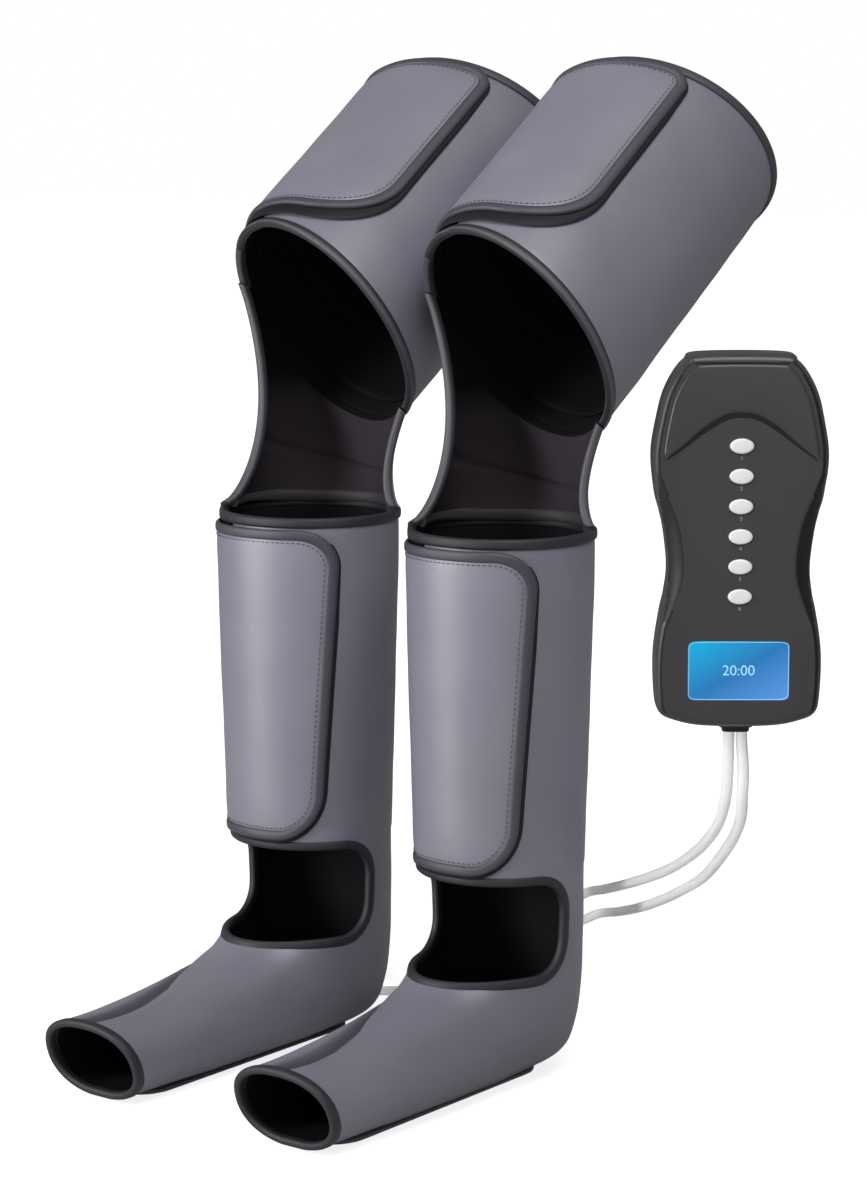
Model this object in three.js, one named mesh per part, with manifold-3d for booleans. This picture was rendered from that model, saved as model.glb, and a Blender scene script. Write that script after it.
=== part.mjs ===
// A pair of full-leg air compression boots with their handset and two air hoses.
// Millimetres, +Z up, toes towards -Y. The left boot stands at +X, the right boot at -X.
import * as THREE from "three";
import { mergeVertices } from "three/addons/utils/BufferGeometryUtils.js";
import Module from "manifold-3d";

const wasm = await Module();
wasm.setup();

// Clearances: between neighbours in one layer, between layers, and past a face that a cutter goes through
const GAP = 0.3;
const LAYER_GAP = 0.7;
const OVERRUN = 10;

// The pair of boots, and what all their cuffs share
const BOOT_SPACING = 189;
const SHELL_WALL = 4;
const CHAMBER_WALL = 5;
const CHAMBER_MARGIN = 22;
const BINDING_WIDTH = 8;
const BINDING_PROUD = 1.2;
const FLAP_THICKNESS = 3.5;
const PIPING_PROUD = 0.6;
const STRIP_THICKNESS = 1;
const STRIP_MARGIN = 45;
const STRIP_ANGLE = 24;
const STRIP_INSET_ANGLE = 12;

// Calf cuff: a cone round the upright calf axis; angles run from its front towards +X
const CALF_TOP = 423;
const CALF_LOW = 168;
const CALF_TOP_RADIUS = 71;
const CALF_LOW_RADIUS = 64;
const CALF_ROOT_ANGLE = -60;
const CALF_EDGE_ANGLE = -20;
const CALF_FLAP_TOP_ANGLE = 59;
const CALF_FLAP_LOW_ANGLE = 46;
const CALF_FLAP_TOP_CORNER = 30;
const CALF_FLAP_LOW_CORNER = 38;

// Thigh cuff: an oval tube with slanted ends that leans back over the knee
const THIGH_LEAN = 54.6;
const KNEE_BACK = 45;
const KNEE_HEIGHT = 584.7;
const THIGH_RADIUS = 89;
const THIGH_DEEPER = 8;
const THIGH_LOW = -35;
const THIGH_LOW_SLANT = -18;
const THIGH_LOW_TURN = 10;
const THIGH_TOP = 203;
const THIGH_TOP_SLANT = 22;
const THIGH_TOP_TURN = 45;
const THIGH_ROOT_ANGLE = -50;
const THIGH_EDGE_ANGLE = -18;
const THIGH_FLAP_ANGLE = 43;
const THIGH_FLAP_TOP_CORNER = 18;
const THIGH_FLAP_LOW_CORNER = 58;

// Knee panel: the half pipe of cloth behind the knee that joins the two cuffs
const PANEL_THICKNESS = 6;
const PANEL_CALF_ANGLE = 118;
const PANEL_THIGH_ANGLE = 138;
const PANEL_WAIST_BACK = 24;
const PANEL_WAIST_SHARE = 0.16;

// Foot sleeve: sections that turn from the level ankle seam to the raked toe opening
const TOE_FORWARD = 267;
const TOE_HEIGHT = 64;
const TOE_RAKE = 20;
const HEEL_BACK = 65;
const SOLE_THICKNESS = 3;
const SOLE_HALF_WIDTH = 26;
const SOLE_TOE_MARGIN = 42;
const SOLE_HEEL_MARGIN = 38;
// each section: its front's way forward and its height, its back's way forward and its height,
// its half width, and how much squarer than an ellipse it is
const FOOT_SHARES = [
  [0, 1, 0.006, 1, 1, 0],
  [0, 0.66, 0.002, 0.71, 0.98, 0],
  [0.03, 0.4, 0, 0.43, 0.95, 0.1],
  [0.1, 0.24, 0.014, 0.2, 0.91, 0.2],
  [0.22, 0.15, 0.07, 0.05, 0.86, 0.25],
  [0.42, 0.08, 0.26, 0.01, 0.79, 0.3],
  [0.62, 0.03, 0.5, 0, 0.77, 0.3],
  [0.82, 0, 0.76, 0, 0.74, 0.3],
  [1, 0, 1, 0, 0.71, 0.25],
];
const FOOT_CHAMBER_SHARES = [0.625, 0.75, 0.875];
const FOOT_CHAMBER_COLUMNS = 7;

// Ankle opening, as seen from the side
const ANKLE_LOW = 90;
const ANKLE_SLOPE = 1;
const ANKLE_END = 5;
const ANKLE_CORNER = 24;

// Air inlet on the back of the ankle, an elbow with its nozzle pointing down
const INLET_HEIGHT = 84;
const INLET_FLANGE = 15;
const INLET_FLANGE_THICKNESS = 3;
const INLET_STANDOFF = 11;
const NOZZLE_RADIUS = 4.5;
const NOZZLE_LENGTH = 24;

// Handset body
const HANDSET_TURN = 38;
const HANDSET_X = 430.5;
const HANDSET_Y = -196.5;
const HANDSET_Z = 464.5;
const HANDSET_HEIGHT = 241;
const HANDSET_HALF_WIDTH = 56.4;
const FRONT_DEPTH = 18;
const REAR_DEPTH = 16;
const HANDSET_WALL = 2.4;
const SIDE_DEPTH = 6;
const FACE_INSET = 6;
const FACE_ROUNDING = 1.6;
const WAIST_FACET = 7;
// the right half of the outline from the flat top down to the bowed bottom: shares of half width and height
const OUTLINE_SHARES = [
  [0.48, 0.5], [0.64, 0.48], [0.75, 0.45], [0.86, 0.4], [0.93, 0.34], [1, 0.235], [0.96, 0.13], [0.9, 0.075],
  [0.85, 0.02], [0.81, -0.07], [0.84, -0.14], [0.89, -0.195], [0.95, -0.3], [0.94, -0.41], [0.89, -0.46],
  [0.7, -0.483], [0.35, -0.497],
];
const WAIST_SHARE = -0.02;
const WAIST_SPAN_SHARE = 0.2;

// Hood over the upper part of the handset's face, with an arched lower edge
const HOOD_RISE = 1.8;
const HOOD_INSET = 7;
const HOOD_SHARES = [[0.85, 0.222], [0.66, 0.257], [0.47, 0.296], [0.28, 0.327], [0.11, 0.343]];

// Buttons, placed from the top one down by shares of the handset's height
const BUTTON_COUNT = 6;
const BUTTON_HALF_WIDTH = 7.6;
const BUTTON_HALF_HEIGHT = 4.8;
const BUTTON_PITCH_SHARE = 0.0801;
const TOP_BUTTON_SHARE = 0.258;
const BUTTON_PROUD = 1.6;
const BUTTON_CLEARANCE = 0.4;
const BUTTON_LIP = 1.4;
const BUTTON_LIP_THICKNESS = 1;

// Display
const SCREEN_WIDTH = 64.8;
const SCREEN_HEIGHT = 38.2;
const SCREEN_SHARE = -0.3423;
const SCREEN_CORNER = 2;
const LENS_RECESS = 0.4;
const MODULE_MARGIN = 2;

// Inside the handset, placed by shares of its height
const BOARD_SETBACK = 3;
const BOARD_THICKNESS = 1.6;
const BOARD_HALF_WIDTH = 31;
const BOARD_TOP_SHARE = 0.307;
const BOARD_BOTTOM_SHARE = -0.44;
const POST_RADIUS = 3;
const POST_X = 26;
const POST_SHARES = [0.282, -0.216];
const PUMP_RADIUS = 11;
const PUMP_LENGTH = 52;
const PUMP_SHARE = 0.124;
const VALVE_WIDTH = 40;
const VALVE_HEIGHT = 22;
const VALVE_DEPTH = 10;
const VALVE_SHARE = -0.183;
const GLAND_HALF_WIDTH = 11;
const GLAND_HALF_DEPTH = 6;
const GLAND_PROUD = 1.5;
const GLAND_INSIDE = 8;

// Hoses
const HOSE_DIAMETER = 7.5;
const HOSE_PITCH = 8.2;
const HOSE_SIDES = 8;
const HOSE_STEP_DIAMETERS = 3;
const TAIL_BEND = 42;

// Coils of spare hose on the floor behind the boots, placed in the handset's turned directions
const COIL_RADIUS = 45;
const COIL_PITCH = 8.2;
const COIL_SIDES = 6;
const COIL_STEPS_PER_TURN = 24;
const LEFT_COIL = { side: -10, behind: 140, start: 120, sweep: 840, descends: true };
const RIGHT_COIL = { side: -15, behind: 130, start: -90, sweep: -618, descends: false };

// Routes of the hoses from the handset to their coils
const LEFT_ROUTE = [
  [427, -199, 314], [424, -196, 296], [413, -186, 276], [387, -161, 254], [347, -122, 229], [297, -73, 203],
  [240, -15, 177], [175, 48, 149], [124, 97, 128], [77, 135, 109], [43, 150, 86], [11, 152, 61], [-17, 145, 38],
];
const RIGHT_ROUTE = [
  [435, -193, 314], [434, -192, 298], [429, -185, 282], [415, -170, 264], [386, -142, 239], [344, -99, 210],
  [294, -50, 183], [237, 8, 155], [180, 64, 129], [124, 116, 106], [80, 151, 90], [52, 167, 76], [20, 174, 58],
  [-10, 172, 38], [-38, 161, 20], [-64, 141, 8], [-88, 118, 4.2], [-118, 92, 4.2],
];

// Materials
const cloth = new THREE.MeshStandardMaterial({ color: 0x74747f, roughness: 0.75 });
const darkCloth = new THREE.MeshStandardMaterial({ color: 0x3c3b46, roughness: 0.7 });
const hookTape = new THREE.MeshStandardMaterial({ color: 0x141318, roughness: 0.9 });
const airFilm = new THREE.MeshStandardMaterial({ color: 0x1b1a20, roughness: 0.5 });
const solePadding = new THREE.MeshStandardMaterial({ color: 0x2b2b31, roughness: 0.9 });
const blackPlastic = new THREE.MeshStandardMaterial({ color: 0x454346, roughness: 0.42 });
const whitePlastic = new THREE.MeshStandardMaterial({ color: 0xdadad9, roughness: 0.35 });
const screenGlass = new THREE.MeshStandardMaterial({ color: 0x2b84c8, roughness: 0.15 });
const greenBoard = new THREE.MeshStandardMaterial({ color: 0x1f5a35, roughness: 0.5 });
const pumpSteel = new THREE.MeshStandardMaterial({ color: 0xb5b7ba, roughness: 0.3, metalness: 1 });
const hoseVinyl = new THREE.MeshStandardMaterial({ color: 0xdfe1e2, roughness: 0.3 });

// Helpers

const { lerp, clamp, smoothstep, degToRad: rad, radToDeg: deg } = THREE.MathUtils;
const vec = (x, y, z) => new THREE.Vector3(x, y, z);
const shares = (count) => Array.from({ length: count + 1 }, (_, i) => i / count);

// A geometry of these faces, turned round where they face inwards.
function facingOut(spots, faces) {
  let volume = 0;
  for (let i = 0; i < faces.length; i += 3) {
    const [a, b, c] = [spots[faces[i]], spots[faces[i + 1]], spots[faces[i + 2]]];
    volume += a.dot(vec().crossVectors(b, c));
  }
  const geometry = new THREE.BufferGeometry().setFromPoints(spots);
  geometry.setIndex(volume < 0 ? faces.slice().reverse() : faces);
  return geometry;
}

// A closed sheet with a wall. place(u, v, depth) is a spot of its outer face at depth 0, its inner at depth 1.
function sheet(us, vs, wrapped, place) {
  const spots = [0, 1].flatMap((depth) => vs.flatMap((v) => us.map((u) => place(u, v, depth))));
  const faces = [];
  const at = (i, j, depth) => (depth * vs.length + j) * us.length + (i % us.length);
  const quad = (a, b, c, d) => faces.push(a, b, c, a, c, d);
  const side = us.length - 1;
  const last = vs.length - 1;
  const spans = wrapped ? us.length : side;
  for (let i = 0; i < spans; i++) {
    const n = i + 1;
    for (let j = 0; j < last; j++) {
      quad(at(i, j, 0), at(n, j, 0), at(n, j + 1, 0), at(i, j + 1, 0));
      quad(at(i, j, 1), at(i, j + 1, 1), at(n, j + 1, 1), at(n, j, 1));
    }
    quad(at(n, 0, 0), at(i, 0, 0), at(i, 0, 1), at(n, 0, 1));
    quad(at(i, last, 0), at(n, last, 0), at(n, last, 1), at(i, last, 1));
  }
  for (let j = 0; j < last && !wrapped; j++) {
    quad(at(0, j, 0), at(0, j + 1, 0), at(0, j + 1, 1), at(0, j, 1));
    quad(at(side, j + 1, 0), at(side, j, 0), at(side, j, 1), at(side, j + 1, 1));
  }
  return facingOut(spots, faces);
}

// A closed solid through rings of as many points each, its two ends flat.
function loft(rings) {
  const count = rings[0].length;
  const faces = [];
  for (let j = 0; j < rings.length - 1; j++) {
    for (let i = 0; i < count; i++) {
      const [a, b] = [j * count + i, j * count + ((i + 1) % count)];
      faces.push(a, b, b + count, a, b + count, a + count);
    }
  }
  const flat = rings[0].map((spot) => new THREE.Vector2(spot.x, spot.z));
  const turned = THREE.ShapeUtils.isClockWise(flat) ? 1 : -1;
  const far = (rings.length - 1) * count;
  for (const [a, b, c] of THREE.ShapeUtils.triangulateShape(flat, [])) {
    const [p, q] = turned > 0 ? [b, c] : [c, b];
    faces.push(a, p, q);
    faces.push(far + a, far + q, far + p);
  }
  return facingOut(rings.flat(), faces);
}

// Joins and cuts
function solid(geometry) {
  const bare = geometry.clone();
  bare.deleteAttribute("normal");
  bare.deleteAttribute("uv");
  const merged = mergeVertices(bare);
  const vertProperties = merged.attributes.position.array;
  const triVerts = new Uint32Array(merged.index.array);
  return new wasm.Manifold(new wasm.Mesh({ numProp: 3, vertProperties, triVerts }));
}

function geometryOf(made) {
  const mesh = made.getMesh();
  const geometry = new THREE.BufferGeometry();
  geometry.setAttribute("position", new THREE.BufferAttribute(mesh.vertProperties, mesh.numProp));
  geometry.setIndex(new THREE.BufferAttribute(mesh.triVerts, 1));
  return geometry;
}

const join = (...bodies) => geometryOf(bodies.map(solid).reduce((left, right) => left.add(right)));
const cut = (body, ...tools) => geometryOf(tools.map(solid).reduce((left, tool) => left.subtract(tool), solid(body)));

function add(group, name, geometry, material) {
  geometry.computeVertexNormals();
  const mesh = new THREE.Mesh(geometry, material);
  mesh.name = name;
  group.add(mesh);
}

// Cuffs

// A cuff leans back from upright. Angle 0 is its front and 90 degrees is +X; out is measured from its outer face.
// Its section is an oval, longer from front to back by deeper on each side.
function cuff({ foot, lean, lowAt, topAt, radiusAt, deeper }) {
  const axis = vec(0, Math.sin(rad(lean)), Math.cos(rad(lean)));
  const front = vec(0, -Math.cos(rad(lean)), Math.sin(rad(lean)));
  return {
    radiusAt,
    centre: (along) => foot.clone().addScaledVector(axis, along),
    along: (angle, share) => lerp(lowAt(angle), topAt(angle), share),
    spot(angle, along, out) {
      const radius = radiusAt(along) + out;
      const spot = foot.clone().addScaledVector(axis, along);
      spot.addScaledVector(front, (radius + deeper) * Math.cos(rad(angle)));
      spot.x += radius * Math.sin(rad(angle));
      return spot;
    },
  };
}

const calf = cuff({
  foot: vec(0, 0, 0),
  lean: 0,
  lowAt: () => CALF_LOW,
  topAt: () => CALF_TOP,
  radiusAt: (z) => lerp(CALF_LOW_RADIUS, CALF_TOP_RADIUS, (z - CALF_LOW) / (CALF_TOP - CALF_LOW)),
  deeper: 0,
});

const thigh = cuff({
  foot: vec(0, KNEE_BACK, KNEE_HEIGHT),
  lean: THIGH_LEAN,
  lowAt: (angle) => THIGH_LOW + THIGH_LOW_SLANT * Math.sin(rad(angle - THIGH_LOW_TURN)),
  topAt: (angle) => THIGH_TOP + THIGH_TOP_SLANT * Math.sin(rad(angle - THIGH_TOP_TURN)),
  radiusAt: () => THIGH_RADIUS,
  deeper: THIGH_DEEPER,
});

const FULL_TURN = 360;
const CUFF_STEP = 10;

// Angles from one to another in steps of at most a cuff step
function angles(from, to) {
  const count = Math.ceil((to - from) / CUFF_STEP);
  return shares(count).map((share) => lerp(from, to, share));
}

// A layer of a cuff, its ends trimmed back from the cuff's own
function layer(round, from, to, outer, inner, lowTrim, topTrim) {
  return sheet(angles(from, to), [0, 1], false, (angle, v, depth) => {
    const along = round.along(angle, v) + lerp(lowTrim, -topTrim, v);
    return round.spot(angle, along, depth ? inner : outer);
  });
}

// The folded tape over one end of a cuff's shell
function endBinding(round, from, to, end) {
  return sheet(angles(from, to), [0, 1], false, (angle, v, depth) => {
    const along = round.along(angle, end) + (end ? -v : v) * BINDING_WIDTH;
    return round.spot(angle, along, depth ? -SHELL_WALL - BINDING_PROUD : BINDING_PROUD);
  });
}

const chamberOuter = -SHELL_WALL - LAYER_GAP;
const chamberInner = chamberOuter - CHAMBER_WALL;
const taped = BINDING_WIDTH + GAP;

// Flaps. Each is sewn to its shell at its root, crosses the shell's open front and laps over it.

const FLAP_LAP = STRIP_THICKNESS + 2 * LAYER_GAP + FLAP_THICKNESS;
const FLAP_CLEARANCE = BINDING_WIDTH + 2 * GAP;
const FLAP_CORNER_STEPS = 5;
const FLAP_RUN_STEPS = 10;
const FLAP_SIDE_STEPS = 3;

const calfFlap = {
  round: calf,
  root: CALF_ROOT_ANGLE,
  edge: CALF_EDGE_ANGLE,
  lowAngle: CALF_FLAP_LOW_ANGLE,
  topAngle: CALF_FLAP_TOP_ANGLE,
  low: CALF_LOW + GAP,
  top: CALF_TOP - FLAP_CLEARANCE,
  lowCorner: CALF_FLAP_LOW_CORNER,
  topCorner: CALF_FLAP_TOP_CORNER,
  topShift: () => 0,
};

const thighFlap = {
  round: thigh,
  root: THIGH_ROOT_ANGLE,
  edge: THIGH_EDGE_ANGLE,
  lowAngle: THIGH_FLAP_ANGLE,
  topAngle: THIGH_FLAP_ANGLE,
  low: thigh.along(THIGH_ROOT_ANGLE, 0) + FLAP_CLEARANCE,
  top: THIGH_TOP - FLAP_CLEARANCE,
  lowCorner: THIGH_FLAP_LOW_CORNER,
  topCorner: THIGH_FLAP_TOP_CORNER,
  topShift: (angle) => thigh.along(angle, 1) - THIGH_TOP,
};

// How far a flap reaches from its root, along its middle
const flapReach = ({ round, root, lowAngle, topAngle, low, top }) =>
  rad((lowAngle + topAngle) / 2 - root) * round.radiusAt((low + top) / 2);

// A quarter turn as spots on a corner's circle, from straight down to straight out
const cornerTurns = shares(FLAP_CORNER_STEPS).map((share) => (share * Math.PI) / 2);

// The flap's low edge and top edge from its root to its free edge, drawn in by inset: across and up in each
function flapEdges(flap, inset) {
  const reach = flapReach(flap) - inset;
  const top = flap.top - flap.low - inset;
  const corner = (radius, turn) => ({
    across: reach - radius + radius * Math.sin(turn),
    in: radius - radius * Math.cos(turn),
  });
  const lowTurns = cornerTurns.map((turn) => corner(flap.lowCorner - inset, turn));
  const topTurns = cornerTurns.map((turn) => corner(flap.topCorner - inset, turn));
  return {
    low: [{ across: 0, up: inset }, ...lowTurns.map((spot) => ({ across: spot.across, up: inset + spot.in }))],
    top: [{ across: 0, up: top }, ...topTurns.map((spot) => ({ across: spot.across, up: top - spot.in }))],
  };
}

function flapSpot(flap, { across, up }, depth, proud) {
  const share = up / (flap.top - flap.low);
  const free = lerp(flap.lowAngle, flap.topAngle, share);
  const angle = lerp(flap.root, free, across / flapReach(flap));
  const rise = FLAP_LAP * smoothstep(angle, flap.root, flap.edge - CUFF_STEP / 2);
  const out = depth ? rise - FLAP_THICKNESS : rise + proud;
  return flap.round.spot(angle, flap.low + up + share * flap.topShift(angle), out);
}

// How high an edge of the flap lies at a distance from the root
function heightOn(edge, across) {
  const next = Math.max(1, edge.findIndex((spot) => spot.across >= across));
  const [a, b] = [edge[next - 1], edge[next]];
  return lerp(a.up, b.up, (across - a.across) / (b.across - a.across));
}

// The cloth of a flap, in columns from its root to its free edge
function flapCloth(flap) {
  const { low, top } = flapEdges(flap, taped);
  const run = Math.min(low[1].across, top[1].across);
  const regular = shares(FLAP_RUN_STEPS).map((share) => share * run);
  const turned = [...low, ...top].map((spot) => spot.across).filter((across) => across > run);
  const columns = [...new Set([...regular, ...turned])].sort((a, b) => a - b);
  return sheet(columns, [0, 1], false, (across, v, depth) => {
    const up = lerp(heightOn(low, across), heightOn(top, across), v);
    return flapSpot(flap, { across, up }, depth, 0);
  });
}

// The spots between two of an edge's points, both ends left out
function between(a, b, steps) {
  const inner = shares(steps).slice(1, -1);
  return inner.map((share) => ({ across: lerp(a.across, b.across, share), up: lerp(a.up, b.up, share) }));
}

// The piping round a flap's low, free and top edges, one folded tape
function flapPiping(flap) {
  const [rim, bed] = [0, BINDING_WIDTH].map((inset) => {
    const { low, top } = flapEdges(flap, inset);
    const back = top.slice().reverse();
    const [lowEnd, topEnd] = [low[low.length - 1], back[0]];
    const [lastTurn, root] = back.slice(-2);
    return [
      low[0], ...between(low[0], low[1], FLAP_RUN_STEPS), ...low.slice(1),
      ...between(lowEnd, topEnd, FLAP_SIDE_STEPS),
      ...back.slice(0, -1), ...between(lastTurn, root, FLAP_RUN_STEPS), root,
    ];
  });
  const stops = rim.map((_, i) => i);
  return sheet(stops, [0, 1], false, (i, v, depth) => flapSpot(flap, (v ? rim : bed)[i], depth, PIPING_PROUD));
}

// The hook-and-loop strip on the shell under a flap
function hookStrip(round, flapAngle, from, to) {
  const end = flapAngle - STRIP_INSET_ANGLE;
  const inner = LAYER_GAP;
  return sheet(angles(end - STRIP_ANGLE, end), [from, to], false, (angle, along, depth) =>
    round.spot(angle, along, depth ? inner : inner + STRIP_THICKNESS),
  );
}

function addCalf(boot, side) {
  const from = CALF_EDGE_ANGLE;
  const to = CALF_ROOT_ANGLE + FULL_TURN - deg(GAP / CALF_LOW_RADIUS);
  add(boot, `${side}_calf_shell`, layer(calf, from, to, 0, -SHELL_WALL, 0, taped), cloth);
  const chamber = layer(calf, from, to, chamberOuter, chamberInner, CHAMBER_MARGIN, CHAMBER_MARGIN);
  add(boot, `${side}_calf_air_chamber`, chamber, airFilm);
  add(boot, `${side}_calf_top_binding`, endBinding(calf, from, to, 1), darkCloth);
  add(boot, `${side}_calf_flap`, flapCloth(calfFlap), cloth);
  add(boot, `${side}_calf_flap_binding`, flapPiping(calfFlap), darkCloth);
  const strip = hookStrip(calf, CALF_FLAP_LOW_ANGLE, CALF_LOW + STRIP_MARGIN, CALF_TOP - STRIP_MARGIN);
  add(boot, `${side}_calf_hook_strip`, strip, hookTape);
}

function addThigh(boot, side) {
  const from = THIGH_EDGE_ANGLE;
  const to = THIGH_ROOT_ANGLE + FULL_TURN - deg(GAP / THIGH_RADIUS);
  add(boot, `${side}_thigh_shell`, layer(thigh, from, to, 0, -SHELL_WALL, taped, taped), cloth);
  const chamber = layer(thigh, from, to, chamberOuter, chamberInner, CHAMBER_MARGIN, CHAMBER_MARGIN);
  add(boot, `${side}_thigh_air_chamber`, chamber, airFilm);
  add(boot, `${side}_thigh_top_binding`, endBinding(thigh, from, to, 1), darkCloth);
  add(boot, `${side}_thigh_lower_binding`, endBinding(thigh, from, to, 0), darkCloth);
  add(boot, `${side}_thigh_flap`, flapCloth(thighFlap), cloth);
  add(boot, `${side}_thigh_flap_binding`, flapPiping(thighFlap), darkCloth);
  const strip = hookStrip(thigh, THIGH_FLAP_ANGLE, STRIP_MARGIN, THIGH_TOP - STRIP_MARGIN);
  add(boot, `${side}_thigh_hook_strip`, strip, hookTape);
}

// Knee panel

const PANEL_COLUMNS = 16;
const PANEL_ROWS = 6;

// From the calf's top to the thigh's low end, drawn in and, towards its left edge, back at its waist
function kneePanel() {
  return sheet(shares(PANEL_COLUMNS), shares(PANEL_ROWS), false, (u, v, depth) => {
    const calfAngle = lerp(PANEL_CALF_ANGLE, CALF_ROOT_ANGLE + FULL_TURN, u);
    const thighAngle = lerp(PANEL_THIGH_ANGLE, THIGH_ROOT_ANGLE + FULL_TURN, u);
    const low = CALF_TOP + GAP;
    const top = thigh.along(thighAngle, 0) - GAP;
    const spot = calf.spot(calfAngle, low, 0).lerp(thigh.spot(thighAngle, top, 0), v);
    const middle = calf.centre(low).lerp(thigh.centre(top), v);
    const waist = Math.sin(Math.PI * v);
    spot.x *= 1 - PANEL_WAIST_SHARE * waist;
    spot.y += PANEL_WAIST_BACK * waist * u;
    return spot.addScaledVector(middle.sub(spot).normalize(), depth * PANEL_THICKNESS);
  });
}

// Foot sleeve

const FOOT_COLUMNS = 20;
const footTop = CALF_LOW - GAP;
const toeSeam = TOE_FORWARD - BINDING_WIDTH - GAP;
const sleeveFloor = SOLE_THICKNESS + GAP;

const footSections = FOOT_SHARES.map(([frontAlong, frontUp, backAlong, backUp, width, square]) => ({
  front: vec(0, -lerp(CALF_LOW_RADIUS, toeSeam, frontAlong), lerp(TOE_HEIGHT, footTop, frontUp)),
  back: vec(0, lerp(HEEL_BACK, TOE_RAKE - toeSeam, backAlong), backUp * footTop),
  half: CALF_LOW_RADIUS * width,
  square,
}));

// A spot of the sleeve, inwards from its outer face; share runs over the sections from the ankle seam to the toe
function footSpot(angle, share, inwards) {
  const place = share * (footSections.length - 1);
  const i = Math.min(Math.floor(place), footSections.length - 2);
  const [a, b] = [footSections[i], footSections[i + 1]];
  const front = a.front.clone().lerp(b.front, place - i);
  const back = a.back.clone().lerp(b.back, place - i);
  const power = 2 / (2 + lerp(a.square, b.square, place - i));
  const along = Math.cos(rad(angle));
  const across = Math.sin(rad(angle));
  const length = front.distanceTo(back) / 2 - inwards;
  const half = lerp(a.half, b.half, place - i) - inwards;
  const spot = front.clone().add(back).divideScalar(2);
  const towards = front.sub(back).normalize();
  spot.addScaledVector(towards, length * Math.sign(along) * Math.abs(along) ** power);
  spot.x += half * Math.sign(across) * Math.abs(across) ** power;
  const short = sleeveFloor + Math.max(inwards, 0) - spot.z;
  return short > 0 ? spot.addScaledVector(towards, short / towards.z) : spot;
}

const footAngles = shares(FOOT_COLUMNS).slice(0, -1).map((share) => share * FULL_TURN);
const sectionStops = shares(FOOT_SHARES.length - 1);

const footWall = (outer, inner) =>
  sheet(footAngles, sectionStops, true, (angle, share, depth) => footSpot(angle, share, depth ? inner : outer));

const ankleFront = toeSeam / 2;

// The ankle opening seen from the side, grown by grow, as a cutter through both sides. open lets it out at the top.
function ankleCutter(grow, open) {
  const corner = ANKLE_CORNER + grow;
  const [x, lowZ] = [ANKLE_END + ANKLE_CORNER, ANKLE_LOW + ANKLE_CORNER];
  const top = footTop - BINDING_WIDTH + grow + (open ? OVERRUN : 0);
  const slope = rad(ANKLE_SLOPE);
  const start = new THREE.Vector2(x + corner * Math.sin(slope), lowZ - corner * Math.cos(slope));
  const outline = new THREE.Shape();
  outline.moveTo(ankleFront, start.y + (ankleFront - start.x) * Math.tan(slope));
  outline.lineTo(start.x, start.y);
  outline.absarc(x, lowZ, corner, (3 * Math.PI) / 2 + slope, Math.PI, true);
  if (open) {
    outline.lineTo(x - corner, top);
  } else {
    outline.absarc(x, top - corner, corner, Math.PI, Math.PI / 2, true);
  }
  outline.lineTo(ankleFront, top);
  const depth = 2 * (CALF_LOW_RADIUS + OVERRUN);
  const cutter = new THREE.ExtrudeGeometry(outline, { depth, bevelEnabled: false, curveSegments: 6 });
  cutter.translate(0, 0, -depth / 2);
  // the outline's x is the way forward and its y is up
  return cutter.applyMatrix4(new THREE.Matrix4().makeBasis(vec(0, -1, 0), vec(0, 0, 1), vec(-1, 0, 0)));
}

function ankleBinding() {
  const wall = solid(footWall(-BINDING_PROUD, SHELL_WALL + BINDING_PROUD));
  const band = solid(ankleCutter(BINDING_WIDTH, false)).subtract(solid(ankleCutter(0, false)));
  return geometryOf(wall.intersect(band));
}

// The tape round the toe opening goes on from the sleeve's last section
function toeBinding() {
  return sheet(footAngles, [0, 1], true, (angle, v, depth) => {
    const spot = footSpot(angle, 1, depth ? SHELL_WALL + BINDING_PROUD : -BINDING_PROUD);
    spot.y -= GAP + v * BINDING_WIDTH;
    return spot;
  });
}

// The foot's air chamber lines the sleeve over the instep and down both sides.
function footChamber() {
  const columns = [...footAngles.slice(-FOOT_CHAMBER_COLUMNS), ...footAngles.slice(0, FOOT_CHAMBER_COLUMNS + 1)];
  return sheet(columns, FOOT_CHAMBER_SHARES, false, (angle, share, depth) =>
    footSpot(angle, share, -(depth ? chamberInner : chamberOuter)),
  );
}

// A flat oval pad under the foot
function solePad() {
  const outline = new THREE.Shape();
  outline.absarc(0, HEEL_BACK - SOLE_HEEL_MARGIN - SOLE_HALF_WIDTH, SOLE_HALF_WIDTH, 0, Math.PI, false);
  outline.absarc(0, SOLE_TOE_MARGIN + SOLE_HALF_WIDTH - TOE_FORWARD, SOLE_HALF_WIDTH, Math.PI, 2 * Math.PI, false);
  outline.closePath();
  return new THREE.ExtrudeGeometry(outline, { depth: SOLE_THICKNESS, bevelEnabled: false, curveSegments: 6 });
}

const INLET_SIDES = 10;
const inletFace = HEEL_BACK + GAP;
const nozzleBack = inletFace + INLET_STANDOFF;
const nozzleTip = INLET_HEIGHT - NOZZLE_LENGTH;

function airInlet() {
  const flange = new THREE.BoxGeometry(INLET_FLANGE, INLET_FLANGE_THICKNESS, INLET_FLANGE);
  flange.translate(0, inletFace + INLET_FLANGE_THICKNESS / 2, INLET_HEIGHT);
  const reach = INLET_STANDOFF + NOZZLE_RADIUS - INLET_FLANGE_THICKNESS / 2;
  const arm = new THREE.BoxGeometry(2 * NOZZLE_RADIUS, reach, 2 * NOZZLE_RADIUS);
  arm.translate(0, nozzleBack + NOZZLE_RADIUS - reach / 2, INLET_HEIGHT);
  const nozzle = new THREE.CylinderGeometry(NOZZLE_RADIUS, NOZZLE_RADIUS, NOZZLE_LENGTH, INLET_SIDES);
  nozzle.rotateX(Math.PI / 2);
  nozzle.translate(0, nozzleBack, INLET_HEIGHT - NOZZLE_LENGTH / 2);
  return join(flange, arm, nozzle);
}

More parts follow.
